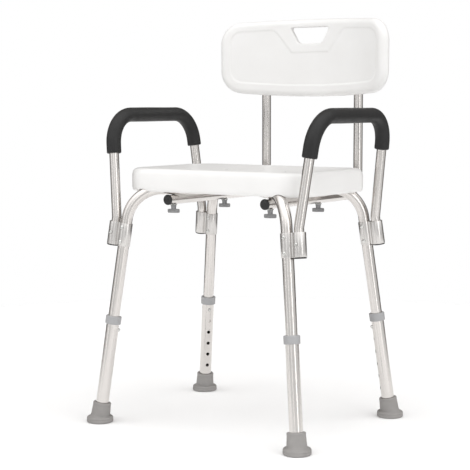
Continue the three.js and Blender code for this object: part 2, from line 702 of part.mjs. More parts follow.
for (const { name, sx } of HANDS) {
  const corner = { sx, sy: -1 };
  const armTip = SLEEVE_R + 2.6;
  const postTip = SOCKET_R + 2.5;
  const post = v3(sx * POST_X, POST_Y, POST_BUTTON_Z);
  add(`arm_tube_${name}`, armrest(sx), ALUMINIUM);
  add(`arm_grip_${name}`, grip(sx), BLACK_FOAM);
  add(`arm_button_${name}`, snapButton(armButtonCentre(corner), legUp(corner), legFront(corner),
    ARM_R - WALL, armTip, armTip - ARM_R - GAP + 0.4), STEEL);
  add(`back_tube_${name}`, backTube(sx), ALUMINIUM);
  add(`back_tube_cap_${name}`, endCap(sx), BLACK_PLASTIC);
  add(`back_button_${name}`, snapButton(post, v3(0, 0, 1), v3(0, 1, 0),
    ARM_R - WALL, postTip, postTip - ARM_R - 0.1), STEEL);
}

export default chair;
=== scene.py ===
# %% [markdown]
# A shower chair with armrests and a backrest. The engineering model is loaded first: it fixes where
# every piece is and what it moves with. Each piece is then made again in finer shape and given its
# real finish. All sizes below are in millimetres in the chair's own frame, whose origin lies on the
# floor in the middle of the four feet; one helper turns them into metres in the model's frame.

import json

import bmesh
import bpy
import numpy as np
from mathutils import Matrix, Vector


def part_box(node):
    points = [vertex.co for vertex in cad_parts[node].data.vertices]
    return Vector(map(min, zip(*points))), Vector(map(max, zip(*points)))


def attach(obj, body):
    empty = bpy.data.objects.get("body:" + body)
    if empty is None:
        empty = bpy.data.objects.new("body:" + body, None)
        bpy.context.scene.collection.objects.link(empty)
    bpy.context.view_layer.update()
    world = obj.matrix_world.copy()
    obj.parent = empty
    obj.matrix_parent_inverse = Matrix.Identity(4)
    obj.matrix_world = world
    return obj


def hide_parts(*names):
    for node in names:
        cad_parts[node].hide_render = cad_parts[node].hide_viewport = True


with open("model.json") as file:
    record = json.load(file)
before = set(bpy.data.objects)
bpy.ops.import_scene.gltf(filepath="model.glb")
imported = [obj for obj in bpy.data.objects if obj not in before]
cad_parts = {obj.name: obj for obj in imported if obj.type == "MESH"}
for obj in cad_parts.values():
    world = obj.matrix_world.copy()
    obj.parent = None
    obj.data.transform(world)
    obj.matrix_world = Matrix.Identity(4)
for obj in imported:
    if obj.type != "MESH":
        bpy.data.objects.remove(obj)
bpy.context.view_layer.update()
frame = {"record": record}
record = frame["record"]
body_of_node = {n: body for body, names in record["behaviour"]["bodies"].items() for n in names}

# %% Sizes of the chair
GAP = 0.3
WALL = 1.2
FOOT = np.array([232.7, 182.3])
LEAN = np.array([0.113, 0.087])
LEG_R = 11.1
SHIN_R = 12.7
HOLE_PITCH = 25.4
HOLE_COUNT = 6
TOP_HOLE_Z = 186.8
LEG_END_Z = 149.5
SHIN_TOP_Z = 211.5
SHIN_END_Z = 10.6
RUN_Z = 467.6
LEG_BEND_R = 70
SLEEVE_R = 12.7
SLEEVE_PITCH = 26.2
SLEEVE_LOW = 354.3
SLEEVE_HIGH = 399.6
ARM_R = 9.525
ARM_TOP = (236.4, 613.6)
ARM_FRONT_Y = -128
ARM_REAR_Y = 138
ARM_BENDS = (64, 58)
GRIP_R = 14.7
GRIP_ENDS_Z = (537, 546)
POST_X = 114
POST_Y = 252
POST_TOP_Z = 762
BACK_TUBE_FRONT_Y = -107
BACK_TUBE_Z = RUN_Z - LEG_R - GAP - ARM_R
KNOB_Y = POST_X * FOOT[1] / FOOT[0]
STUD_R = 3
SEAT_HALF = np.array([210.5, 135])
SEAT_Y = 2
SEAT_BOTTOM_Z = 463
SEAT_TOP_Z = 508.5
SEAT_FLOOR_Z = RUN_Z + LEG_R + GAP
BACK_R = 450
BACK_Y = 256
BACK_T = 24
BACK_HALF = 210.4
BACK_TOP_Z = 814.5
BACK_BOTTOM_Z = 651
BUTTON_R = 3.2
BUTTON_HOLE_R = 3.6
RIVET_HOLE_R = 2.6
RIVETS_Z = {"bottom": SLEEVE_LOW + 8, "top": SLEEVE_HIGH - 8}
ARM_BUTTON_Z = SLEEVE_LOW + 24
POST_BUTTON_Z = BACK_BOTTOM_Z + 16
CORNERS = {
    "front_left": (-1, -1),
    "front_right": (1, -1),
    "rear_left": (-1, 1),
    "rear_right": (1, 1),
}
HANDS = {"left": -1, "right": 1}
seat_low, seat_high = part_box("seat")
SHIFT_Y = SEAT_Y - (seat_low.y + seat_high.y) * 500
print("the model's frame lies", round(SHIFT_Y, 3), "mm behind the middle of the feet")


# %% [markdown]
# Everything is drawn as a grid of points, so the first helpers turn grids into meshes. A grid has rows
# and columns; joining each point to its neighbours gives the faces. A closed shape is a grid whose
# columns, rows or both run round and meet, or whose first and last rows shrink to a point.

# %% Grids into meshes
def grid_faces(rows, cols, loop_rows):
    """Four corners of each face: a point, its neighbour in the row, and the same two one row on."""
    i = np.arange(rows if loop_rows else rows - 1)[:, None]
    j = np.arange(cols)[None, :]
    near, far, beside = i * cols, ((i + 1) % rows) * cols, (j + 1) % cols
    return np.stack([near + j, near + beside, far + beside, far + j], -1).reshape(-1, 4)


def grid_uv(points, loop_rows):
    """Texture places in metres: U is the distance round a row, V the distance from row to row."""
    round_row = np.linalg.norm(np.roll(points, -1, 1) - points, axis=2).max(0)
    next_row = np.linalg.norm(np.roll(points, -1, 0) - points, axis=2).max(1)
    u = np.concatenate([[0], np.cumsum(round_row)]) * 0.001
    v = np.concatenate([[0], np.cumsum(next_row)]) * 0.001
    i = np.arange(len(points) if loop_rows else len(points) - 1)[:, None]
    j = np.arange(points.shape[1])[None, :]
    ones = np.ones(np.broadcast(i, j).shape, int)
    u4 = np.stack([u[j * ones], u[(j + 1) * ones], u[(j + 1) * ones], u[j * ones]], -1)
    v4 = np.stack([v[i * ones], v[i * ones], v[(i + 1) * ones], v[(i + 1) * ones]], -1)
    return np.stack([u4, v4], -1).reshape(-1, 4, 2)


def mesh_of(name, grids):
    """One mesh from closed grids, each (points, loop_rows) or (points, loop_rows, finish number)."""
    points, faces, uvs, finishes, start = [], [], [], [], 0
    for grid, loop_rows, *number in grids:
        made = grid_faces(*grid.shape[:2], loop_rows)
        points.append(grid.reshape(-1, 3))
        faces.append(made + start)
        uvs.append(grid_uv(grid, loop_rows))
        finishes.append(np.full(len(made), number[0] if number else 0))
        start += grid.shape[0] * grid.shape[1]
    places = (np.concatenate(points) - [0, SHIFT_Y, 0]) * 0.001
    mesh = bpy.data.meshes.new(name)
    mesh.from_pydata(places.tolist(), [], np.concatenate(faces).tolist())
    mesh.uv_layers.new(name="UVMap").data.foreach_set("uv", np.concatenate(uvs).ravel())
    mesh.polygons.foreach_set("material_index", np.concatenate(finishes))
    return mesh


def tidy(mesh, sharp=35):
    """Merges doubled points, turns the faces outwards and shades smooth but for sharp edges."""
    work = bmesh.new()
    work.from_mesh(mesh)
    bmesh.ops.remove_doubles(work, verts=work.verts, dist=2e-6)
    bmesh.ops.dissolve_degenerate(work, edges=work.edges, dist=1e-7)
    bmesh.ops.recalc_face_normals(work, faces=work.faces)
    work.to_mesh(mesh)
    work.free()
    mesh.shade_smooth()
    mesh.set_sharp_from_angle(angle=np.radians(sharp))
    return mesh


# %% Objects, holes and what a piece stands for
def solid(name, *grids):
    """An object of closed grids, with its place in its mesh."""
    obj = bpy.data.objects.new(name, tidy(mesh_of(name, grids)))
    bpy.context.scene.collection.objects.link(obj)
    return obj


def combine(obj, tool, operation="DIFFERENCE", sharp=35):
    """Cuts a tool out of a piece, or adds it, and keeps the result as the piece's own mesh."""
    work = obj.modifiers.new("combine", "BOOLEAN")
    work.operation = operation
    work.object = tool
    work.solver = "MANIFOLD"
    graph = bpy.context.evaluated_depsgraph_get()
    mesh = bpy.data.meshes.new_from_object(
        obj.evaluated_get(graph), preserve_all_data_layers=True, depsgraph=graph
    )
    obj.modifiers.clear()
    obj.data = mesh
    mesh.shade_smooth()
    mesh.set_sharp_from_angle(angle=np.radians(sharp))
    bpy.data.objects.remove(tool)
    return obj


def stands_for(obj, node, slot, *finishes):
    """The piece moves with the node's body, takes the node's place and has these finishes."""
    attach(obj, body_of_node[node])
    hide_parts(node)
    obj.data.materials.clear()
    for finish in finishes:
        obj.data.materials.append(finish)
    made[node] = sum(len(p.vertices) - 2 for p in obj.data.polygons)


made = {}


def part(node, slot, finishes, grids, *cuts):
    """A fine piece of closed grids, with each set of tools cut out in turn, in its node's place."""
    piece = solid("fine_" + node, *grids)
    for tools in cuts:
        combine(piece, solid("tools", *tools))
    stands_for(piece, node, slot, *finishes)
    return piece


# %% [markdown]
# Directions and places on the legs. Each leg leans in towards the middle by a fixed amount for every
# millimetre of height, so a point on it is worked out from its height alone. Three directions go with
# a leg: up along it, outwards to the side of the chair, and inwards to the middle of the chair.

# %% Leg geometry
def unit(v):
    """A direction of length one: the vector divided by its length."""
    v = np.asarray(v, float)
    return v / np.linalg.norm(v, axis=-1, keepdims=True)


def leg_point(corner, z):
    """The foot's place drawn in by the lean times the height."""
    return np.array([*(np.array(corner) * (FOOT - LEAN * z)), z])


def leg_up(corner):
    """Along the leg, from a point on it to the point one millimetre higher."""
    return unit(leg_point(corner, 1) - leg_point(corner, 0))


def square_to(direction, axis):
    """What is left of a direction when its share along the axis is taken away."""
    return unit(np.asarray(direction, float) - axis * np.dot(direction, axis))


def leg_outward(corner):
    """Square to the leg, nearest to the chair's own side."""
    return square_to([corner[0], 0, 0], leg_up(corner))


def leg_inward(corner):
    """Square to the leg, nearest to the middle of the chair."""
    return square_to([*(-np.array(corner) * FOOT), 0], leg_up(corner))


def leg_front(corner):
    """Square to the leg, nearest to straight ahead."""
    return square_to([0, -1, 0], leg_up(corner))


def square_bar(centre, direction, reach, radius):
    """A cutting bar from a centreline out through one wall."""
    return bar(centre, centre + direction * 2 * reach, radius)


def arm_point(corner, z):
    """The armrest's half of a sleeve: beside the leg by the sleeve's pitch."""
    return leg_point(corner, z) + leg_outward(corner) * SLEEVE_PITCH


# %% Profiles and round shapes
def rounded(corners, reach, steps=5, closed=False):
    """Each corner gives way to a parabola that starts the reach before it and ends the reach after it,
    though never past 45% of the shorter side."""
    p = np.asarray(corners, float)
    back, ahead = np.roll(p, 1, 0) - p, np.roll(p, -1, 0) - p
    sides = np.stack([np.linalg.norm(back, axis=1), np.linalg.norm(ahead, axis=1)])
    r = np.minimum(reach, 0.45 * sides.min(0))[:, None]
    a, b = p + back / sides[0][:, None] * r, p + ahead / sides[1][:, None] * r
    if not closed:
        a[[0, -1]] = b[[0, -1]] = p[[0, -1]]
    t = np.linspace(0, 1, steps)[None, :, None]
    curve = (1 - t) ** 2 * a[:, None] + 2 * t * (1 - t) * p[:, None] + t**2 * b[:, None]
    return curve.reshape(-1, p.shape[1])


def turned(profile, base, up, sides=48, side=(1, 0, 0)):
    """A profile of [radius, height] carried round an axis: base + up times the height + the radius
    times (cosine of the angle across + sine of the angle along the other way across)."""
    profile = np.asarray(profile, float)
    up = unit(up)
    across = square_to(side, up)
    angle = np.linspace(0, 2 * np.pi, sides, endpoint=False)[None, :, None]
    ring = np.cos(angle) * across + np.sin(angle) * np.cross(up, across)
    return base + profile[:, 1, None, None] * up + profile[:, 0, None, None] * ring


def bar(start, end, radius, sides=32):
    """A plain round bar between two points, used as a cutting tool."""
    start, end = np.asarray(start, float), np.asarray(end, float)
    along = end - start
    height = np.linalg.norm(along)
    side = (1, 0, 0) if abs(along[0]) < 0.9 * height else (0, 1, 0)
    profile = [[0, 0], [radius, 0], [radius, height], [0, height]]
    return turned(profile, start, along, sides, side), False


# %% [markdown]
# Most of the chair is bent tube. A tube bender makes straight runs joined by arcs of one radius, so
# the centreline is laid out the same way, and a round section is carried along it. The surface runs
# along the outside, over the cut end and back along the bore, which closes it without any cap.

# %% Bent tubes
def distances(points):
    """How far along its path each point is."""
    return np.concatenate([[0], np.cumsum(np.linalg.norm(np.diff(points, axis=0), axis=1))])


def resampled(path, s, rows):
    """Points and tangents read off at other distances along the path."""
    return [np.stack([np.interp(rows, s, a[:, k]) for k in range(3)], 1) for a in path]


def with_ends(path):
    """The path with its first and last rows doubled, for sections that shrink to a point there."""
    return [np.concatenate([a[:1], a, a[-1:]]) for a in path]


def smooth(t):
    """A share from 0 to 1 that starts and ends level: t squared times (3 - 2t)."""
    return t * t * (3 - 2 * t)


def bent(corners, radii, every=12.0):
    """Straight runs with arcs at the corners. An arc starts its radius times the tangent of half the
    turn before the corner; at angle a it has gone radius times sin(a) along the first run and radius
    times (1 - cos(a)) to the inner side. The path is then sampled at least every few millimetres."""
    c = np.asarray(corners, float)
    runs = unit(np.diff(c, axis=0))
    points, tangents = [c[:1]], [runs[:1]]
    for i, radius in enumerate(radii):
        before, after = runs[i], runs[i + 1]
        turn = np.arccos(np.clip(before @ after, -1, 1))
        side = unit(after - before * (before @ after))
        a = np.linspace(0, turn, int(28 * turn / 1.57) + 4)[:, None]
        start = c[i + 1] - before * radius * np.tan(turn / 2)
        points.append(start + radius * (np.sin(a) * before + (1 - np.cos(a)) * side))
        tangents.append(np.cos(a) * before + np.sin(a) * side)
    points, tangents = np.concatenate([*points, c[-1:]]), np.concatenate([*tangents, runs[-1:]])
    s = distances(points)
    keep = np.concatenate([[True], np.diff(s) > 1e-6])
    points, tangents, s = points[keep], tangents[keep], s[keep]
    more = np.unique(np.concatenate([s, np.linspace(0, s[-1], int(s[-1] / every) + 2)]).round(5))
    points, tangents = resampled((points, tangents), s, more)
    return points, unit(tangents)


def carried(path, section, flat_to=(1, 0, 0)):
    """A section carried along a path: the path's point plus the section's first number times the
    direction nearest to flat_to and square to the path, plus its second times the third direction."""
    points, tangents = path
    first = np.asarray(flat_to, float) - tangents * (tangents @ np.asarray(flat_to, float))[:, None]
    first = unit(first)
    second = np.cross(tangents, first)
    section = np.broadcast_to(section, (len(points), *np.shape(section)[-2:]))
    return points[:, None] + section[..., :1] * first[:, None] + section[..., 1:] * second[:, None]


def circle(radii, sides):
    """A ring of points for each radius: radius times (cosine, sine)."""
    a = np.linspace(0, 2 * np.pi, sides, endpoint=False)
    ring = np.stack([np.cos(a), np.sin(a)], -1)
    return np.asarray(radii, float)[:, None, None] * ring


def tube(path, outer, inner, flat_to=(1, 0, 0), sides=48, edge=0.25):
    """A hollow tube with eased ends: out along the outer radius and back along the inner one."""
    points, tangents = path
    reach = np.linalg.norm(points[1] - points[0])
    edge_share = min(edge / reach, 0.4)
    first = points[0] + (points[1] - points[0]) * edge_share
    last = points[-1] + (points[-2] - points[-1]) * edge_share
    out = np.concatenate([points[:1], [first], points[1:-1], [last], points[-1:]])
    out_t = np.concatenate([tangents[:1], tangents[:1], tangents[1:-1], tangents[-1:], tangents[-1:]])
    radii = np.full(len(out), float(outer))
    radii[[0, -1]] -= edge
    both = np.concatenate([out, points[::-1]]), np.concatenate([out_t, tangents[::-1]])
    radii = np.concatenate([radii, np.full(len(points), float(inner))])
    return carried(both, circle(radii, sides), flat_to), True


# %% [markdown]
# Finishes. Every finish is a Principled shader fed by noise, because a real surface is never quite
# even: colour and roughness drift a little, and a fine bump breaks up the highlights. Drawn tube has
# streaks along its length, so its pattern follows the tube's own texture places; moulded pieces have
# an even grain, so theirs reads the object's coordinates in metres.

# %% Shader helpers
def linear(level):
    """Screen grey or colour (0 to 1) as the linear number that a shader takes."""
    c = np.asarray(level, float)
    return tuple(np.where(c <= 0.04045, c / 12.92, ((c + 0.055) / 1.055) ** 2.4)) + (1.0,)


def finish_of(name, metallic=0.0, sheen=0.0, specular=0.5):
    """A new material, its nodes and its shader, with the numbers that are the same all over."""
    material = bpy.data.materials.new(name)
    material.use_nodes = True
    nodes = material.node_tree.nodes
    shader = nodes["Principled BSDF"]
    shader.inputs["Metallic"].default_value = metallic
    shader.inputs["Sheen Weight"].default_value = sheen
    shader.inputs["Sheen Roughness"].default_value = 0.45
    shader.inputs["Specular IOR Level"].default_value = specular
    return material, material.node_tree, shader


def noise(tree, scale, detail=3.0, stretch=(1, 1, 1), from_uv=False):
    """Noise with features of 1/scale metres, drawn out by the stretch."""
    place = tree.nodes.new("ShaderNodeTexCoord")
    mapping = tree.nodes.new("ShaderNodeMapping")
    mapping.inputs["Scale"].default_value = stretch
    pattern = tree.nodes.new("ShaderNodeTexNoise")
    pattern.inputs["Scale"].default_value = scale
    pattern.inputs["Detail"].default_value = detail
    pattern.inputs["Roughness"].default_value = 0.55
    tree.links.new(place.outputs["UV" if from_uv else "Object"], mapping.inputs["Vector"])
    tree.links.new(mapping.outputs["Vector"], pattern.inputs["Vector"])
    return pattern.outputs["Fac"]


def spread(tree, value, low, high, start=0.3, end=0.7):
    """A number that goes from low to high while the pattern goes from start to end."""
    step = tree.nodes.new("ShaderNodeMapRange")
    for socket, number in zip(("From Min", "From Max", "To Min", "To Max"), (start, end, low, high)):
        step.inputs[socket].default_value = number
    tree.links.new(value, step.inputs["Value"])
    return step.outputs["Result"]


def colours(tree, value, *stops):
    """A colour that follows the pattern between two stops of (place, screen colour)."""
    ramp = tree.nodes.new("ShaderNodeValToRGB")
    for element, (place, colour) in zip(ramp.color_ramp.elements, stops):
        element.position, element.color = place, linear(colour)
    tree.links.new(value, ramp.inputs["Fac"])
    return ramp.outputs["Color"]


def bump(tree, height, depth, strength=1.0, under=None):
    """A bump of this depth in metres, on top of another one if given."""
    node = tree.nodes.new("ShaderNodeBump")
    node.inputs["Strength"].default_value = strength
    node.inputs["Distance"].default_value = depth
    tree.links.new(height, node.inputs["Height"])
    if under is not None:
        tree.links.new(under, node.inputs["Normal"])
    return node.outputs["Normal"]


# %% [markdown]
# Aluminium tube is drawn and then anodised: a satin metal with hair-fine lines along it, a little
# cloudiness from handling, and roughness that follows both. The lines come from noise squeezed round
# the tube and drawn out 250 times along it.

# %% Anodised aluminium
def anodised(name, light, dark, low, high):
    """Roughness follows 0.4 times the lines plus the clouds; the lines are also a very faint bump."""
    material, tree, shader = finish_of(name, metallic=1.0)
    lines = noise(tree, 900, 2, (1, 0.004, 1), from_uv=True)
    clouds = noise(tree, 60, 3, (1, 0.06, 1), from_uv=True)
    tree.links.new(colours(tree, clouds, (0.3, dark), (0.7, light)), shader.inputs["Base Color"])
    mix = tree.nodes.new("ShaderNodeMath")
    mix.operation = "MULTIPLY_ADD"
    mix.inputs[1].default_value = 0.4
    tree.links.new(lines, mix.inputs[0])
    tree.links.new(spread(tree, clouds, 0.27, 0.33), mix.inputs[2])
    tree.links.new(spread(tree, mix.outputs[0], low, high), shader.inputs["Roughness"])
    tree.links.new(bump(tree, lines, 0.000005, 0.08), shader.inputs["Normal"])
    return material


aluminium = anodised("aluminium_tube", (0.86, 0.845, 0.832), (0.85, 0.835, 0.822), 0.21, 0.25)
sleeve_metal = anodised("extruded_aluminium", (0.84, 0.83, 0.82), (0.82, 0.81, 0.80), 0.25, 0.30)


# %% Steel and brass
def plated(name, light, dark, low, high):
    """Turned and plated metal: fine rings of wear and small cloudy patches."""
    material, tree, shader = finish_of(name, metallic=1.0)
    fine = noise(tree, 1400, 3)
    patches = noise(tree, 220, 3)
    tree.links.new(colours(tree, patches, (0.35, dark), (0.65, light)), shader.inputs["Base Color"])
    tree.links.new(spread(tree, fine, low, high), shader.inputs["Roughness"])
    tree.links.new(bump(tree, fine, 0.00002, 0.3), shader.inputs["Normal"])
    return material


steel = plated("bright_steel", (0.88, 0.88, 0.87), (0.76, 0.76, 0.75), 0.12, 0.26)
brass = plated("brass", (0.83, 0.70, 0.42), (0.68, 0.55, 0.30), 0.25, 0.45)


# %% [markdown]
# The seat and the backrest are blow-moulded in white plastic. The mould is blasted, so the skin has a
# fine even grain, with a satin shine that changes slowly over the panel as the wall cools. The white
# is a touch warm and drifts by about one part in a hundred.

# %% White moulding and other plastics
def moulded(name, light, dark, low, high, grain, depth, specular=0.5):
    """A moulded plastic or rubber: slow colour drift, grain of 1/grain metres and satin roughness."""
    material, tree, shader = finish_of(name, specular=specular)
    slow = noise(tree, 14, 3)
    skin = noise(tree, grain, 2)
    dust = noise(tree, grain * 0.18, 4)
    tree.links.new(colours(tree, slow, (0.3, dark), (0.7, light)), shader.inputs["Base Color"])
    tree.links.new(spread(tree, dust, low, high), shader.inputs["Roughness"])
    rough = bump(tree, skin, depth, 0.45)
    tree.links.new(bump(tree, dust, depth * 1.5, 0.25, rough), shader.inputs["Normal"])
    return material


white = moulded("white_moulding", (0.925, 0.922, 0.917), (0.912, 0.908, 0.902), 0.33, 0.43, 1100, 1.6e-5)
grey_rubber = moulded("grey_rubber", (0.59, 0.58, 0.572), (0.535, 0.525, 0.517), 0.58, 0.78, 900, 8e-5, 0.35)
grey_plastic = moulded("grey_plastic", (0.645, 0.645, 0.65), (0.60, 0.60, 0.605), 0.42, 0.56, 1200, 4e-5)
knob_grey = moulded("knob_grey", (0.56, 0.56, 0.565), (0.50, 0.50, 0.505), 0.36, 0.52, 1200, 5e-5)
black_plastic = moulded("black_plastic", (0.13, 0.13, 0.132), (0.095, 0.095, 0.097), 0.38, 0.6, 1200, 5e-5)


# %% [markdown]
# The grips are closed-cell foam sleeve. Its skin is a field of tiny closed bubbles: a cell pattern
# gives the dimples and a painted shade in them, finer noise gives the matt tooth between them, and a
# sheen gives the soft pale edge that foam shows where it turns away from the eye.

# %% Foam
def foam_finish():
    """Cells of about 1.3 mm dent the skin; the pores are painted darker than the walls between them, as
    painted shade in the dents.
    """
    material, tree, shader = finish_of("black_foam", sheen=0.04, specular=0.4)
    place = tree.nodes.new("ShaderNodeTexCoord")
    cells = tree.nodes.new("ShaderNodeTexVoronoi")
    cells.inputs["Scale"].default_value = 780
    tree.links.new(place.outputs["Object"], cells.inputs["Vector"])
    pores = cells.outputs["Distance"]
    tooth = noise(tree, 2600, 3)
    slow = noise(tree, 40, 4)
    # Painted shade: the colour is darker in the pores, the dents that the same cells press into the skin.
    pore_colour_with_painted_shade = colours(tree, pores, (0.05, (0.07, 0.07, 0.072)), (0.75, (0.11, 0.109, 0.109)))
    tree.links.new(pore_colour_with_painted_shade, shader.inputs["Base Color"])
    tree.links.new(spread(tree, slow, 0.46, 0.6), shader.inputs["Roughness"])
    dents = bump(tree, pores, 0.00012, 0.4)
    tree.links.new(bump(tree, tooth, 0.00006, 0.4, dents), shader.inputs["Normal"])
    return material


foam = foam_finish()
print("finishes", len(bpy.data.materials))


# %% [markdown]
# The legs and the runs under the seat are two long tubes. Each goes up one leg, diagonally across
# below the seat and down the opposite leg. Where the two cross, both are pressed to half height so
# that the crossing is no thicker than one tube.

# %% Leg frames
def press_flat(points, side):
    """Near the middle each point moves half way to the tube's centre height, bulges 30% sideways and
    is lifted or lowered by half a pressed tube; the share fades out between 24 and 48 mm."""
    across = unit(np.array([-FOOT[1], FOOT[0] * side, 0]))
    t = np.clip((48 - np.hypot(points[..., 0], points[..., 1])) / 24, 0, 1)
    share = smooth(t)[..., None]
    moved = points + across * 0.3 * share * (points @ across)[..., None]
    lift = 0.5 * (RUN_Z - moved[..., 2:]) + side * (LEG_R / 2 + GAP / 2)
    moved[..., 2:] += share * lift
    return moved


for node, start, end, side in (
    ("leg_frame_upper", "front_left", "rear_right", 1),
    ("leg_frame_lower", "front_right", "rear_left", -1),
):
    a, b = CORNERS[start], CORNERS[end]
    ends = [leg_point(a, LEG_END_Z), leg_point(a, RUN_Z), leg_point(b, RUN_Z), leg_point(b, LEG_END_Z)]
    across = unit(np.array([-FOOT[1], FOOT[0] * side, 0]))
    grid, loop = tube(bent(ends, [LEG_BEND_R] * 2, 6), LEG_R, LEG_R - WALL, across)
    tools = []
    for corner in (a, b):
        bolt = np.array([corner[0] * POST_X, corner[1] * KNOB_Y, RUN_Z])
        tools.append(square_bar(leg_point(corner, TOP_HOLE_Z), leg_inward(corner), LEG_R, BUTTON_HOLE_R))
        tools.append(bar(bolt - [0, 0, 2 * LEG_R], bolt + [0, 0, 2 * LEG_R], STUD_R + 0.5))
        for z in RIVETS_Z.values():
            tools.append(square_bar(leg_point(corner, z), leg_front(corner), SLEEVE_R, RIVET_HOLE_R))
    part(node, "aluminium_tube", [aluminium], [(press_flat(grid, side), loop)], tools)
print("leg frames", {n: made[n] for n in made})

# %% [markdown]
# The lower legs slide over the upper ones and carry a row of punched holes for the height setting.
# The tube is made first and the holes are cut afterwards, as the punch does it.

# %% Lower legs
for name, corner in CORNERS.items():
    path = bent([leg_point(corner, SHIN_END_Z), leg_point(corner, SHIN_TOP_Z)], [])
    top = leg_point(corner, TOP_HOLE_Z)
    holes = [
        square_bar(top - leg_up(corner) * HOLE_PITCH * i, leg_inward(corner), SHIN_R, BUTTON_HOLE_R)
        for i in range(HOLE_COUNT)
    ]
    part("lower_leg_" + name, "aluminium_tube", [aluminium], [tube(path, SHIN_R, LEG_R + GAP)], holes)
print("lower leg triangles", made["lower_leg_front_left"])

# %% [markdown]
# A grey plastic collar caps each lower tube and stops the upper one rattling. It is a turned shape:
# one profile goes up the outside, over the lip, and down the two steps of the bore.

# %% Collars
COLLAR_R = 15.65
collar_profile = rounded(
    [
        [SHIN_R + GAP, -13.2],
        [COLLAR_R - 0.5, -13.2],
        [COLLAR_R - 0.1, -12.4],
        [COLLAR_R, 0.6],
        [COLLAR_R, 1.6],
        [COLLAR_R - 1.3, 2.9],
        [LEG_R + GAP + 0.3, 2.9],
        [LEG_R + GAP, 2.4],
        [LEG_R + GAP, GAP],
        [SHIN_R + GAP, GAP],
    ],
    0.5,
    closed=True,
)
for name, corner in CORNERS.items():
    grid = turned(collar_profile, leg_point(corner, SHIN_TOP_Z), leg_up(corner), 64)
    part("collar_" + name, "grey_plastic", [grey_plastic], [(grid, True)])

# %% [markdown]
# The rubber feet stand flat on the floor while the legs lean, so the shape is turned about two axes:
# the pad's rings are level, the cone's rings are square to the leg, and the few rings between them
# pass from one to the other. The sole has ring grooves, and the pad has a thin mould line.

# %% Feet
foot_rows = np.array(
    [
        # radius, height, share of the leg's lean
        [0, 1.0, 0],
        [7.4, 1.0, 0],
        [8.2, 0, 0],
        [12.6, 0, 0],
        [13.4, 1.0, 0],
        [15.4, 1.0, 0],
        [16.2, 0, 0],
        [19.6, 0, 0],
        [20.4, 1.0, 0],
        [21.8, 1.0, 0],
        [22.6, 0, 0],
        [25.4, 0, 0],
        [26.5, 1.1, 0],
        [26.5, 5.7, 0],
        [25.95, 6.1, 0],
        [25.95, 6.6, 0],
        [26.4, 7.0, 0],
        [26.3, 9.2, 0],
        [24.9, 11.1, 0],
        [21.6, 11.6, 0.1],
        [20.3, 12.2, 0.4],
        [19.2, 14.0, 1],
        [18.9, 17.0, 1],
        [17.75, 34.6, 1],
        [18.05, 35.6, 1],
        [17.95, 38.6, 1],
        [17.0, 40.0, 1],
        [13.6, 40.0, 1],
        [SHIN_R + GAP, 39.2, 1],
        [SHIN_R + GAP, SHIN_END_Z - GAP, 1],
        [0, SHIN_END_Z - GAP, 1],
    ]
)


def foot_grid(corner):
    """Each ring is a blend of a level ring above the pad's middle and a ring square to the leg."""
    rows = rounded(foot_rows, 0.7, 4)
    level = turned(rows[:, :2], leg_point(corner, 5) * [1, 1, 0], (0, 0, 1), 72)
    leaning = turned(rows[:, :2] - [0, 8], leg_point(corner, 8), leg_up(corner), 72)
    share = rows[:, 2, None, None]
    return level * (1 - share) + leaning * share


for name, corner in CORNERS.items():
    part("foot_" + name, "grey_rubber", [grey_rubber], [(foot_grid(corner), False)])
print("foot triangles", made["foot_front_left"])


# %% [markdown]
# Snap buttons. A round steel pin is riveted to a folded leaf spring inside the tube and stands out
# through a hole. The spring is a flat strip carried along a U; the pin is a turned shape with a
# domed end, which catches a small bright highlight.

# %% Snap buttons
def strip(width, thickness):
    """A strip's section: a rectangle with eased corners."""
    w, t = width / 2, thickness / 2
    return rounded([[w, t], [-w, t], [-w, -t], [w, -t]], 0.25, 4, closed=True)


def snap_button(centre, up, outward, bore, tip, travel):
    """The leaf lies along the near wall, turns back 11 mm below and rests near the far wall."""
    leaf, far = bore - 1.4, travel + 1.7 - bore
    bend = (leaf - far) / 2
    path = bent(
        [
            centre + outward * leaf + up * 7,
            centre + outward * leaf - up * (11 + bend),
            centre + outward * far - up * (11 + bend),
            centre + outward * far + up * 7,
        ],
        [bend * 0.999] * 2,
        4,
    )
    side = np.cross(outward, up)
    section = strip(6, 0.8)
    scale = np.ones(len(path[0]) + 2)
    scale[[0, -1]] = 0
    spring = carried(with_ends(path), section * scale[:, None, None], side)
    height = tip - leaf - 0.6
    dome = [[0, 0], [BUTTON_R + 0.9, 0], [BUTTON_R + 0.9, 0.7], [BUTTON_R, 0.8], [BUTTON_R, height - 1.2]]
    curve = np.linspace(0, np.pi / 2, 10)[1:]
    cap = np.stack([BUTTON_R * np.cos(curve), height - 1.2 + 1.6 * np.sin(curve)], 1)
    pin = turned(np.concatenate([dome, cap]), centre + outward * (leaf + 0.2), outward, 32, up)
    return (spring, False), (pin, False)


BUTTONS = {}
for name, corner in CORNERS.items():
    place = leg_point(corner, TOP_HOLE_Z)
    BUTTONS["leg_button_" + name] = place, leg_up(corner), leg_inward(corner), LEG_R - WALL, 16.1, 5.1
for hand, sx in HANDS.items():
    front = (sx, -1)
    place = arm_point(front, ARM_BUTTON_Z)
    BUTTONS["arm_button_" + hand] = place, leg_up(front), leg_front(front), ARM_R - WALL, 15.3, 5.9
    place = np.array([sx * POST_X, POST_Y, POST_BUTTON_Z])
    up, rear = np.array([0, 0, 1.0]), np.array([0, 1.0, 0])
    BUTTONS["back_button_" + hand] = place, up, rear, ARM_R - WALL, 15.7, 6
for node, sizes in BUTTONS.items():
    part(node, "steel", [steel], snap_button(*sizes))
print("snap buttons", len(BUTTONS))


# %% [markdown]
# A double sleeve is a length of extruded aluminium with a figure-eight section. One half is riveted
# to the leg and the armrest's tube drops into the other. The section's outline is two arcs joined by
# a short neck; a stack of these outlines, drawn in a little at both ends, gives eased edges, and the
# two bores are cut through.

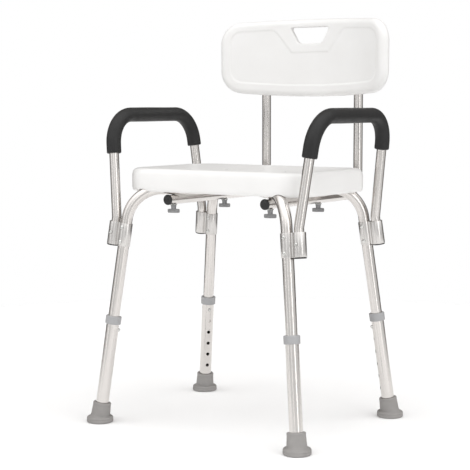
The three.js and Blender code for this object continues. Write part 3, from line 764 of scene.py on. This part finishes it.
# %% Double sleeves
def figure_eight():
    """Two arcs of the sleeve's radius, each leaving out 24 degrees either side of the neck."""
    neck = np.radians(24)
    a = np.linspace(neck, 2 * np.pi - neck, 44)
    leg = SLEEVE_R * np.stack([np.cos(a), np.sin(a)], 1)
    b = a + np.pi
    arm = SLEEVE_R * np.stack([np.cos(b), np.sin(b)], 1) + [SLEEVE_PITCH, 0]
    return np.concatenate([leg, arm])


def stacked(outline, middle, levels, base, across, up):
    """The outline at each level: drawn towards its middle by the level's scale, at its height."""
    levels = np.asarray(levels, float)
    flat = middle + (outline - middle) * levels[:, 0, None, None]
    other = np.cross(up, across)
    rise = levels[:, 1, None, None] * up
    return base + flat[..., :1] * across + flat[..., 1:] * other + rise


for name, corner in CORNERS.items():
    up, out = leg_up(corner), leg_outward(corner)
    low = leg_point(corner, SLEEVE_LOW)
    tall = np.linalg.norm(leg_point(corner, SLEEVE_HIGH) - low)
    eased = [[0, 0], [0.975, 0], [0.992, 0.12], [1, 0.45]]
    levels = eased + [[scale, tall - rise] for scale, rise in reversed(eased)]
    grid = stacked(figure_eight(), np.array([SLEEVE_PITCH / 2, 0]), levels, low, out, up)
    bores = [
        bar(start - up * 5, start + up * (tall + 5), radius + GAP, 48)
        for start, radius in ((low, LEG_R), (low + out * SLEEVE_PITCH, ARM_R))
    ]
    front = leg_front(corner)
    drills = [square_bar(leg_point(corner, z), front, SLEEVE_R, RIVET_HOLE_R) for z in RIVETS_Z.values()]
    if corner[1] < 0:
        drills.append(square_bar(arm_point(corner, ARM_BUTTON_Z), front, SLEEVE_R, BUTTON_HOLE_R))
    part("double_sleeve_" + name, "aluminium_tube", [sleeve_metal], [(grid, False)], bores, drills)

    plug = [[0, -2.5], [11.2, -2.5], [12.1, -1.7], [12.1, -GAP], [9.3, -GAP], [9.3, 4.6], [8.3, 4.6]]
    plug += [[7.6, 1], [0, 1]]
    grid = turned(rounded(plug, 0.4), arm_point(corner, SLEEVE_LOW), up, 48)
    part("sleeve_plug_" + name, "black_plastic", [black_plastic], [(grid, False)])

    inside = LEG_R - WALL - 0.45
    face = SLEEVE_R + 0.15
    arc = np.linspace(0, np.pi / 2, 9)
    dome = np.stack([4 * np.cos(arc), face + 0.3 + 2.0 * np.sin(arc)], 1)
    shank = [[0, inside - 1.6], [2.9, inside - 1.5], [3.1, inside - 0.4], [2.2, inside], [2.2, face]]
    profile = np.concatenate([shank, [[3.9, face]], dome])
    for end, z in RIVETS_Z.items():
        grid = turned(profile, leg_point(corner, z), front, 32, up)
        part(f"rivet_{name}_{end}", "aluminium_tube", [steel], [(grid, False)])
print("sleeve triangles", made["double_sleeve_front_left"])


# %% [markdown]
# The armrests are bent from thinner tube. A tube leaves its front sleeve, kinks slightly outwards,
# rises, turns over two wide bends and comes down into the rear sleeve. Foam is pushed over the top.
# The foam is a padded piece: it is a little fuller than a plain tube between its ends, rounds off
# over a soft edge at both ends, and ripples slightly along its length.

# %% Armrests
def arm_corners(sx):
    """Corners of the armrest's centreline, from its front sleeve over the top to its rear sleeve."""
    front, rear = (sx, -1), (sx, 1)
    top = ARM_TOP[1]
    return [
        arm_point(front, SLEEVE_LOW + 7),
        arm_point(front, SLEEVE_HIGH + 8),
        np.array([sx * ARM_TOP[0], ARM_FRONT_Y, top]),
        np.array([sx * ARM_TOP[0], ARM_REAR_Y, top]),
        arm_point(rear, SLEEVE_HIGH + 8),
        arm_point(rear, SLEEVE_LOW + 7),
    ]


def at_height(low, high, z):
    """The point of a straight run at a height."""
    return low + (high - low) * (z - low[2]) / (high[2] - low[2])


def grip_grid(sx):
    """The foam's surface: outside from end to end, over a soft rounded edge, and back along the bore.
    Its radius sits 0.12 mm under the full size and ripples slowly by 0.12 mm either way, the ripples fading
    out over the last 30 mm at each end."""
    _, low, front, rear, end, _ = arm_corners(sx)
    ends = [at_height(low, front, GRIP_ENDS_Z[0]), front, rear, at_height(end, rear, GRIP_ENDS_Z[1])]
    path = bent(ends, ARM_BENDS, 5)
    s = distances(path[0])
    lip = np.array([0, 0.25, 0.8, 1.7, 3.0])
    rows = np.concatenate([lip, s[(s > 4) & (s < s[-1] - 4)], s[-1] - lip[::-1]])
    from_end = np.minimum(rows, s[-1] - rows)
    edge = 2.2 * (1 - np.sqrt(np.clip(1 - (1 - np.clip(from_end / 3, 0, 1)) ** 2, 0, 1)))
    swell = 0.12 * np.sin(rows / 21.0) * np.clip(from_end / 30, 0, 1) - 0.12
    outer = GRIP_R - edge + swell
    back = np.linspace(s[-1], 0, 60)
    points, tangents = resampled(path, s, np.concatenate([rows, back]))
    radii = np.concatenate([outer, np.full(60, ARM_R + GAP)])
    return carried((points, unit(tangents)), circle(radii, 64)), True


for hand, sx in HANDS.items():
    path = bent(arm_corners(sx), [30, *ARM_BENDS, 30])
    front = (sx, -1)
    hole = square_bar(arm_point(front, ARM_BUTTON_Z), leg_front(front), ARM_R, BUTTON_HOLE_R)
    part("arm_tube_" + hand, "aluminium_tube", [aluminium], [tube(path, ARM_R, ARM_R - WALL)], [hole])
    piece = part("arm_grip_" + hand, "black_foam", [foam], [grip_grid(sx)])
print("armrest triangles", made["arm_tube_left"], made["arm_grip_left"])

# %% [markdown]
# Two L-shaped tubes hold the backrest. Each lies under the seat from front to back and stands up
# behind it. A black cap closes the front end, and two knobs clamp each tube to the leg frames.

# %% Back tubes and their caps
for hand, sx in HANDS.items():
    x = sx * POST_X
    ends = [[x, BACK_TUBE_FRONT_Y, BACK_TUBE_Z], [x, POST_Y, BACK_TUBE_Z], [x, POST_Y, POST_TOP_Z]]
    rise = 2 * ARM_R
    tools = [
        bar([x, y, BACK_TUBE_Z - rise], [x, y, BACK_TUBE_Z + rise], STUD_R + 0.5)
        for y in (-KNOB_Y, KNOB_Y)
    ]
    tools.append(bar([x, POST_Y, POST_BUTTON_Z], [x, POST_Y + rise, POST_BUTTON_Z], BUTTON_HOLE_R))
    grids = [tube(bent(ends, [50]), ARM_R, ARM_R - WALL)]
    part("back_tube_" + hand, "aluminium_tube", [aluminium], grids, tools)

    cap = [[0, -10], [6.6, -10], [7.6, -9], [7.9, GAP], [10.2, GAP], [10.5, 0.8], [10.3, 2.3]]
    cap += [[9.0, 3.3], [5.5, 3.4], [5.1, 3.0], [0, 3.0]]
    grid = turned(rounded(cap, 0.5), [x, BACK_TUBE_FRONT_Y, BACK_TUBE_Z], (0, -1, 0), 48)
    part("back_tube_cap_" + hand, "black_plastic", [black_plastic], [(grid, False)])

# %% [markdown]
# A knob is a steel stud in a plastic T. The thread is a real spiral: the radius falls and rises once
# for every millimetre of height and shifts by one turn round the stud. The dark neck and the paler
# wing are one moulding with two finishes.

# %% Knobs, washers and seat nuts
WASHER_T = 1.2
WASHER_Z = BACK_TUBE_Z - ARM_R - GAP - WASHER_T
STUD_TOP_Z = SEAT_FLOOR_Z + 11
wing_half = np.array([[-12, -3.2], [-4, -5.5], [4, -5.5], [12, -3.2]])
wing_outline = rounded(np.concatenate([wing_half, -wing_half]), 2.6, 6, closed=True)
wing_levels = [[0, -15.5], [0.8, -15.5], [0.93, -15.3], [0.98, -14.9], [1, -14.2], [1, -9.2]]
wing_levels += [[0.98, -8.5], [0.93, -8.1], [0.8, -7.9], [0, -7.9]]
neck_profile = [[0, -9], [4.9, -9], [4.9, -3.4], [5.5, -2.6], [5.5, -0.5], [5.1, 0], [0, 0]]
washer_profile = [[STUD_R + 0.4, 0], [7, 0], [7, WASHER_T], [STUD_R + 0.4, WASHER_T]]
nut_profile = [[STUD_R + GAP, 0], [5.4, 0], [5.4, 3.4], [4.9, 4], [4.9, 5.4], [5.4, 6], [5.4, 9.5]]
nut_profile += [[STUD_R + GAP, 9.5]]


def threaded_stud(base, low, high, sides=24):
    """Radius = stud radius - 0.35 times the distance from the crest, where the place on the thread is
    the height in pitches less the angle in turns; both ends close on the axis."""
    z = np.linspace(low, high - 0.7, int((high - low) * 6))[:, None]
    angle = np.linspace(0, 2 * np.pi, sides, endpoint=False)[None, :]
    crest = np.abs(((z - angle / (2 * np.pi)) % 1) * 2 - 1)
    radius = STUD_R - 0.35 * crest
    radius = np.concatenate([radius[:1] * 0, radius, np.full((1, sides), STUD_R - 0.9), radius[:1] * 0])
    z = np.concatenate([z[:1], z, [[high], [high]]])
    ring = np.stack([np.cos(angle) * radius, np.sin(angle) * radius, z + 0 * radius], -1)
    return base + ring


for name, (sx, sy) in CORNERS.items():
    axis = np.array([sx * POST_X, sy * KNOB_Y, 0])
    top = axis + [0, 0, WASHER_Z - GAP]
    turn = np.radians(20)
    across, up = np.array([np.cos(turn), np.sin(turn), 0]), np.array([0, 0, 1.0])
    blade = stacked(wing_outline, np.zeros(2), wing_levels, top, across, up)
    neck = turned(rounded(neck_profile, 0.4), top, up, 40)
    stud = threaded_stud(top, -0.4, STUD_TOP_Z - (WASHER_Z - GAP))
    grids = [(blade, False, 0), (neck, False, 1), (stud, False, 2)]
    part("knob_" + name, "knob_plastic", [knob_grey, black_plastic, steel], grids)
    for kind, slot, finish, profile, ease, z in (
        ("knob_washer_", "steel", steel, washer_profile, 0.25, WASHER_Z),
        ("seat_nut_", "brass", brass, nut_profile, 0.3, SEAT_FLOOR_Z + 0.4),
    ):
        grid = turned(rounded(profile, ease, 4, closed=True), axis + [0, 0, z], up, 40)
        part(kind + name, slot, [finish], [(grid, True)])
print("knob triangles", made["knob_front_left"])


# %% [markdown]
# The seat is a shallow tray turned over: soft round edges, a gently dished top that drains to holes,
# and a rim round the underside. It is made as rings, each a rectangle with round corners. The first
# ring is a point at the middle of the top; they grow outwards, go over the edge, down the side, under
# the rim and back inwards along the underside to a point again.

# %% Seat
SEAT_CORNER_R = 52
SEAT_RIM = 16
DRAINS = [[0, 62], [0, -58], [70, 32], [-70, 32], [70, -28], [-70, -28], [140, 2], [-140, 2]]


def round_rectangles(inset, arc=16, run=22):
    """For each inset, a rectangle with round corners: arcs of the corner radius (less 60% of the
    inset) about the four corner centres, with evenly spread points on the runs between the arcs."""
    inset = np.asarray(inset, float)[:, None, None]
    half = SEAT_HALF - inset
    r = np.minimum(np.maximum(SEAT_CORNER_R - 0.6 * inset, 8), half.min(-1, keepdims=True))
    signs = np.array([[1, 1], [-1, 1], [-1, -1], [1, -1]])
    a = (np.arange(4)[:, None] + np.linspace(0, 1, arc)[None, :]) * np.pi / 2
    ring = np.stack([np.cos(a), np.sin(a)], -1)
    centre = signs * np.maximum(half - r, 0)
    arcs = centre[:, :, None, :] + r[..., None] * ring
    w = np.linspace(0, 1, run)[1:-1, None]
    after = np.roll(arcs, -1, 1)[:, :, :1]
    runs = arcs[:, :, -1:] * (1 - w) + after * w
    return np.concatenate([arcs, runs], 2).reshape(len(inset), -1, 2)


def seat_grid():
    """Rows of (inset, height): the dished top falls 7.5 mm from its rim to its middle."""
    rise = SEAT_TOP_Z - SEAT_BOTTOM_Z
    dish = np.linspace(0, 1, 14)
    top = np.stack([134.9 - 121 * dish, rise - 7.5 * (1 - dish**1.5) - 0.1], 1)
    edge = [[11.5, rise], [8, 44.9], [5, 43.4], [2.9, 41.3], [1.5, 38.5], [0.6, 35], [0, 31]]
    edge += [[0, 22], [0, 12], [0.3, 6], [1, 2.8], [2.4, 0.9], [5, 0]]
    under = np.array([[-2, 0], [-0.6, 0.5], [0, 1.8], [0, 13.5], [1, 15.4], [3, 16]]) + [SEAT_RIM, 0]
    rows = np.concatenate([top, edge, under, [[134.9, 16.0]]])
    flat = round_rectangles(rows[:, 0])
    z = np.broadcast_to(SEAT_BOTTOM_Z + rows[:, 1, None, None], (*flat.shape[:2], 1))
    grid = np.concatenate([flat + [0, SEAT_Y], z], -1)
    ends = grid.mean(1, keepdims=True)[[0, -1]] + np.zeros((1, grid.shape[1], 1))
    return np.concatenate([ends[:1], grid, ends[1:]])


seat = solid("fine_seat", (seat_grid(), False))
channels = []
for corner in CORNERS.values():
    inner = leg_point(corner, RUN_Z) * [0.6, 0.6, 1]
    path = bent([leg_point(corner, 400), leg_point(corner, RUN_Z), inner], [LEG_BEND_R])
    ends = with_ends(path)
    radii = np.full(len(ends[0]), LEG_R + 1)
    radii[[0, -1]] = 0
    across = unit(np.array([-corner[1] * FOOT[1], corner[0] * FOOT[0], 0]))
    channels.append((carried(ends, circle(radii, 40), across), False))
combine(seat, solid("channels", *channels))
holes = [bar([x, y, 440], [x, y, 540], 4.2) for x, y in DRAINS]
pockets = [[sx * POST_X, sy * KNOB_Y] for sx, sy in CORNERS.values()]
holes += [bar([x, y, 440], [x, y, STUD_TOP_Z + 1.2], 5.7) for x, y in pockets]
holes.append(bar([0, 100, 440], [0, 100, SEAT_FLOOR_Z + 6], 2.5))
combine(seat, solid("drills", *holes))
stands_for(seat, "seat", "moulded_white", white)
print("seat triangles", made["seat"])


# %% [markdown]
# The backrest is a curved blow moulding with a hand hole. A panel with one hole in it is a ring, so
# its surface is one grid that runs both ways round: along the outline, and across it from the hand
# hole over the front, round the rim, back over the rear and through the hole. The flat drawing is
# then wrapped round an upright cylinder. A shallow panel is sunk into the front; its edge comes from
# the distance to the panel's outline, so the step has the same width everywhere.

# %% Backrest outlines
HANDLE = {"top": 797, "bottom": 763.5, "wide": 49, "narrow": 30}


def back_curves(s):
    """Heights of the top and bottom edges: they fall and rise with the square of the distance out."""
    f = s / BACK_HALF
    return BACK_TOP_Z - 7 * f * f, BACK_BOTTOM_Z + 11 * f * f


def mirrored(half):
    """The right half of an outline from top to bottom, and its mirror image back to the top."""
    return np.concatenate([half, half[::-1] * [-1, 1]])


def back_outline():
    """Top run, corner arc of 44 mm, side, corner arc of 43 mm and bottom run."""
    a = np.linspace(0, np.pi / 2, 26)[:, None]
    r1, r2 = 44, 43
    s_top = np.linspace(0, BACK_HALF - r1, 40)[:-1, None]
    s_arc = BACK_HALF - r1 + r1 * np.sin(a)
    s_low = BACK_HALF - r2 + r2 * np.cos(a)
    s_bottom = np.linspace(BACK_HALF - r2, 0, 60)[1:, None]
    top = np.hstack([s_top, back_curves(s_top)[0]])
    corner = np.hstack([s_arc, back_curves(s_arc)[0] - r1 + r1 * np.cos(a)])
    lower = np.hstack([s_low, back_curves(s_low)[1] + r2 - r2 * np.sin(a)])
    side = corner[-1] + (lower[0] - corner[-1]) * np.linspace(0, 1, 24)[1:-1, None]
    bottom = np.hstack([s_bottom, back_curves(s_bottom)[1]])
    return mirrored(np.concatenate([top, corner, side, lower, bottom]))


def hole_outline():
    """The hand hole with as many points on each stretch as the outline has."""
    t = np.linspace(0, 1, 26)[:, None]
    high = np.array([HANDLE["wide"], HANDLE["top"]])
    low = np.array([HANDLE["narrow"], HANDLE["bottom"]])
    slope = unit(low - high)
    reach = 8

    def corner(at, before, after):
        a, b = at - before * reach, at + after * reach
        return (1 - t) ** 2 * a + 2 * t * (1 - t) * at + t**2 * b

    first, second = corner(high, np.array([1, 0]), slope), corner(low, slope, np.array([-1, 0]))
    top = np.array([0, high[1]]) + (first[0] - [0, high[1]]) * np.linspace(0, 1, 40)[:-1, None]
    side = first[-1] + (second[0] - first[-1]) * np.linspace(0, 1, 24)[1:-1, None]
    bottom = second[-1] + (np.array([0, low[1]]) - second[-1]) * np.linspace(0, 1, 60)[1:, None]
    return mirrored(np.concatenate([top, first, side, second, bottom]))


def outwards(outline):
    """Directions square to the outline: its run turned a quarter turn to the left as it goes round."""
    run = np.roll(outline, -1, 0) - np.roll(outline, 1, 0)
    length = np.linalg.norm(run, axis=1, keepdims=True)
    run = run / np.maximum(length, 1e-9)
    return np.stack([-run[:, 1], run[:, 0]], 1)


# %% Backrest surface
def panel_depth(s, z):
    """How far the front is sunk: 1.5 mm inside a round-cornered outline, but not within the surround of
    the hand hole; the distance to the edge is turned into an even step 4.5 mm wide."""
    top, bottom = back_curves(s)
    high, low = top - 19, bottom + 23
    half = (high - low) / 2
    r = 26
    q = np.stack([np.abs(s) - (BACK_HALF - 20 - r), np.abs(z - (high + low) / 2) - (half - r)])
    box = np.linalg.norm(np.maximum(q, 0), axis=0) + np.minimum(q.max(0), 0) - r
    surround = np.maximum(746 - z, (np.abs(s) - 46 - 0.83 * (z - 746)) / np.hypot(1, 0.83))
    k = 8
    h = np.clip(0.5 - 0.5 * (-surround - box) / k, 0, 1)
    edge = -surround * (1 - h) + box * h + k * h * (1 - h)
    t = np.clip(-edge / 4.5 + 0.3, 0, 1)
    return 1.5 * smooth(t)


def wrap(s, t, z):
    """A flat place (along, depth, height) on a cylinder: the angle is the distance along over the
    radius, and the depth adds to the radius."""
    a = s / BACK_R
    return np.stack([(BACK_R + t) * np.sin(a), BACK_Y - BACK_R + (BACK_R + t) * np.cos(a), z], -1)


def back_grid():
    """Loops across the panel: (a mix of hole and outline, how far each is moved out, depth)."""
    outer, hole = back_outline(), hole_outline()
    out_o, out_h = outwards(outer), outwards(hole)
    half = BACK_T / 2
    inner = outer - out_o * half
    loops = []
    mixes = np.linspace(0, 1, 104)[1:-1] ** 0.92
    start = hole + out_h * 3
    loops += [(start * (1 - m) + inner * m, -half) for m in mixes]
    rim = np.linspace(-np.pi / 2, np.pi / 2, 19)
    loops += [(outer - out_o * half * (1 - np.cos(x)), half * np.sin(x)) for x in rim]
    pocket = hole + out_h * 9.5
    loops += [(inner * (1 - m) + pocket * m, half) for m in np.linspace(0, 1, 26)[1:]]
    through = [(8.2, 11.6), (7.3, 10.7), (7.0, 9.4), (7.0, 1.2), (6.6, 0.4), (5.8, 0), (1.2, 0), (0.3, -0.3)]
    through += [(0, -1), (0, -4.5), (0, -9), (0.25, -10.3), (0.9, -11.3), (1.8, -11.85), (3, -half)]
    loops += [(hole + out_h * g, t) for g, t in through]
    flat = np.stack([place for place, _ in loops])
    depth = np.array([t for _, t in loops])[:, None] * np.ones(len(outer))
    front = np.isclose(depth, -half)
    depth = depth + np.where(front, panel_depth(flat[..., 0], flat[..., 1]), 0)
    return wrap(flat[..., 0], depth, flat[..., 1])


backrest = solid("fine_backrest", (back_grid(), True))
SOCKET_R = 13.2
arc = np.linspace(0, np.pi / 2, 8)
low, high = BACK_BOTTOM_Z + 4.5, POST_TOP_Z + 6
dome = np.stack([SOCKET_R - 4 + 4 * np.cos(arc), high - 4 + 4 * np.sin(arc)], 1)
profile = np.concatenate([[[0, low], [SOCKET_R - 0.8, low], [SOCKET_R, low + 0.8]], dome, [[0, high]]])
sockets = [(turned(profile, [sx * POST_X, POST_Y, 0], (0, 0, 1), 64), False) for sx in (-1, 1)]
combine(backrest, solid("sockets", *sockets), "UNION")
posts = [np.array([sx * POST_X, POST_Y, 0]) for sx in (-1, 1)]
bores = [bar(post + [0, 0, low - 40], post + [0, 0, POST_TOP_Z + 1.5], ARM_R + 0.5, 48) for post in posts]
combine(backrest, solid("bores", *bores))
drills = [bar(post + [0, 0, POST_BUTTON_Z], post + [0, 30, POST_BUTTON_Z], BUTTON_HOLE_R) for post in posts]
combine(backrest, solid("drills", *drills))
stands_for(backrest, "backrest", "moulded_white", white)
print("backrest triangles", made["backrest"])

# %% [markdown]
# The studio: a wide pale floor, a white surround, and tall narrow soft lamps. The surround is white to the
# camera but greyer in the reflections towards the rear and the left, so that bright metal has
# something dark to mirror and its round shape shows.

# %% Floor and surround
SKY_LOW, SKY_HIGH = 0.68, 1.87
angle = np.linspace(0, 2 * np.pi, 96, endpoint=False)
rings = np.array([0.0, 0.3, 0.6, 0.9, 1.3, 1.7]) * 1000
disc = [np.outer(rings, np.cos(angle)), np.outer(rings, np.sin(angle)), np.full((6, 96), -0.5)]
floor = bpy.data.objects.new("floor", tidy(mesh_of("floor", [(np.stack(disc, -1), False)])))
if floor.data.polygons[0].normal.z < 0:
    floor.data.flip_normals()
bpy.context.scene.collection.objects.link(floor)
floor_finish, tree, shader = finish_of("studio_floor", specular=0.2)
paint = colours(tree, noise(tree, 3, 4), (0.3, (0.985,) * 3), (0.7, (0.99,) * 3))
tree.links.new(paint, shader.inputs["Base Color"])
shader.inputs["Roughness"].default_value = 0.8
floor.data.materials.append(floor_finish)

world = bpy.data.worlds.new("studio")
bpy.context.scene.world = world
world.use_nodes = True
tree = world.node_tree
background = tree.nodes["Background"]
place = tree.nodes.new("ShaderNodeTexCoord")


def facing(direction, low, high, start, end):
    """A number from low to high as the view turns towards a direction: their dot product, stepped."""
    dot = tree.nodes.new("ShaderNodeVectorMath")
    dot.operation = "DOT_PRODUCT"
    dot.inputs[1].default_value = direction
    tree.links.new(place.outputs["Generated"], dot.inputs[0])
    number = spread(tree, dot.outputs["Value"], low, high, start, end)
    number.node.interpolation_type = "SMOOTHSTEP"
    return number


def times(a, b):
    """The product of two numbers."""
    node = tree.nodes.new("ShaderNodeMath")
    node.operation = "MULTIPLY"
    tree.links.new(a, node.inputs[0])
    tree.links.new(b, node.inputs[1])
    return node.outputs[0]


sky = facing((0, 0, 1), SKY_LOW, SKY_HIGH, 0.0, 0.95)
rear = facing((-0.55, 0.83, 0), 1.0, 0.1, 0.0, 0.65)
light = times(sky, rear)
seen = tree.nodes.new("ShaderNodeLightPath")
choose = tree.nodes.new("ShaderNodeMix")
tree.links.new(seen.outputs["Is Camera Ray"], choose.inputs["Factor"])
tree.links.new(light, choose.inputs["A"])
choose.inputs["B"].default_value = 1.0
tree.links.new(choose.outputs["Result"], background.inputs["Strength"])
tint = tree.nodes.new("ShaderNodeMix")
tint.data_type = "RGBA"
tree.links.new(seen.outputs["Is Camera Ray"], tint.inputs[0])
tree.links.new(colours(tree, rear, (0.15, (0.97, 0.93, 0.90)), (0.8, (1, 1, 1))), tint.inputs[6])
tint.inputs[7].default_value = (1, 1, 1, 1)
tree.links.new(tint.outputs[2], background.inputs["Color"])


# %% Lamps
def lamp(name, place, size, watts):
    """An upright strip lamp that faces the middle of the chair."""
    data = bpy.data.lights.new(name, "AREA")
    data.shape = "RECTANGLE"
    data.size, data.size_y = size
    data.energy = watts
    obj = bpy.data.objects.new(name, data)
    obj.location = place
    obj.rotation_euler = (Vector((0, 0, 0.4)) - Vector(place)).to_track_quat("-Z", "Y").to_euler()
    bpy.context.scene.collection.objects.link(obj)


lamp("key", (2.6, -0.9, 0.9), (0.45, 2.2), 7)
lamp("front_strip", (-1.7, -2.6, 0.7), (0.3, 2.2), 3)
lamp("camera_side", (0.9, -3.2, 0.9), (0.35, 2.0), 2.4)

# %% [markdown]
# The camera stands in front and to the right of the chair, a little above the seat, nearly three
# metres away with a long lens. The standard view keeps whites white, as on a product sheet.

# %% Camera and output
camera = bpy.data.objects.new("camera", bpy.data.cameras.new("camera"))
camera.location = (1.4954, -2.2505 - SHIFT_Y / 1000, 0.6374)
camera.rotation_euler = np.radians([90 - 5.663, 0, 33.602])
camera.data.sensor_width = 36
camera.data.lens = 103.87
camera.data.shift_x = -0.02395
camera.data.shift_y = 0.00499
bpy.context.scene.collection.objects.link(camera)
bpy.context.scene.camera = camera
bpy.context.scene.view_settings.view_transform = "Standard"

print("pieces", len(made), "triangles", sum(made.values()))
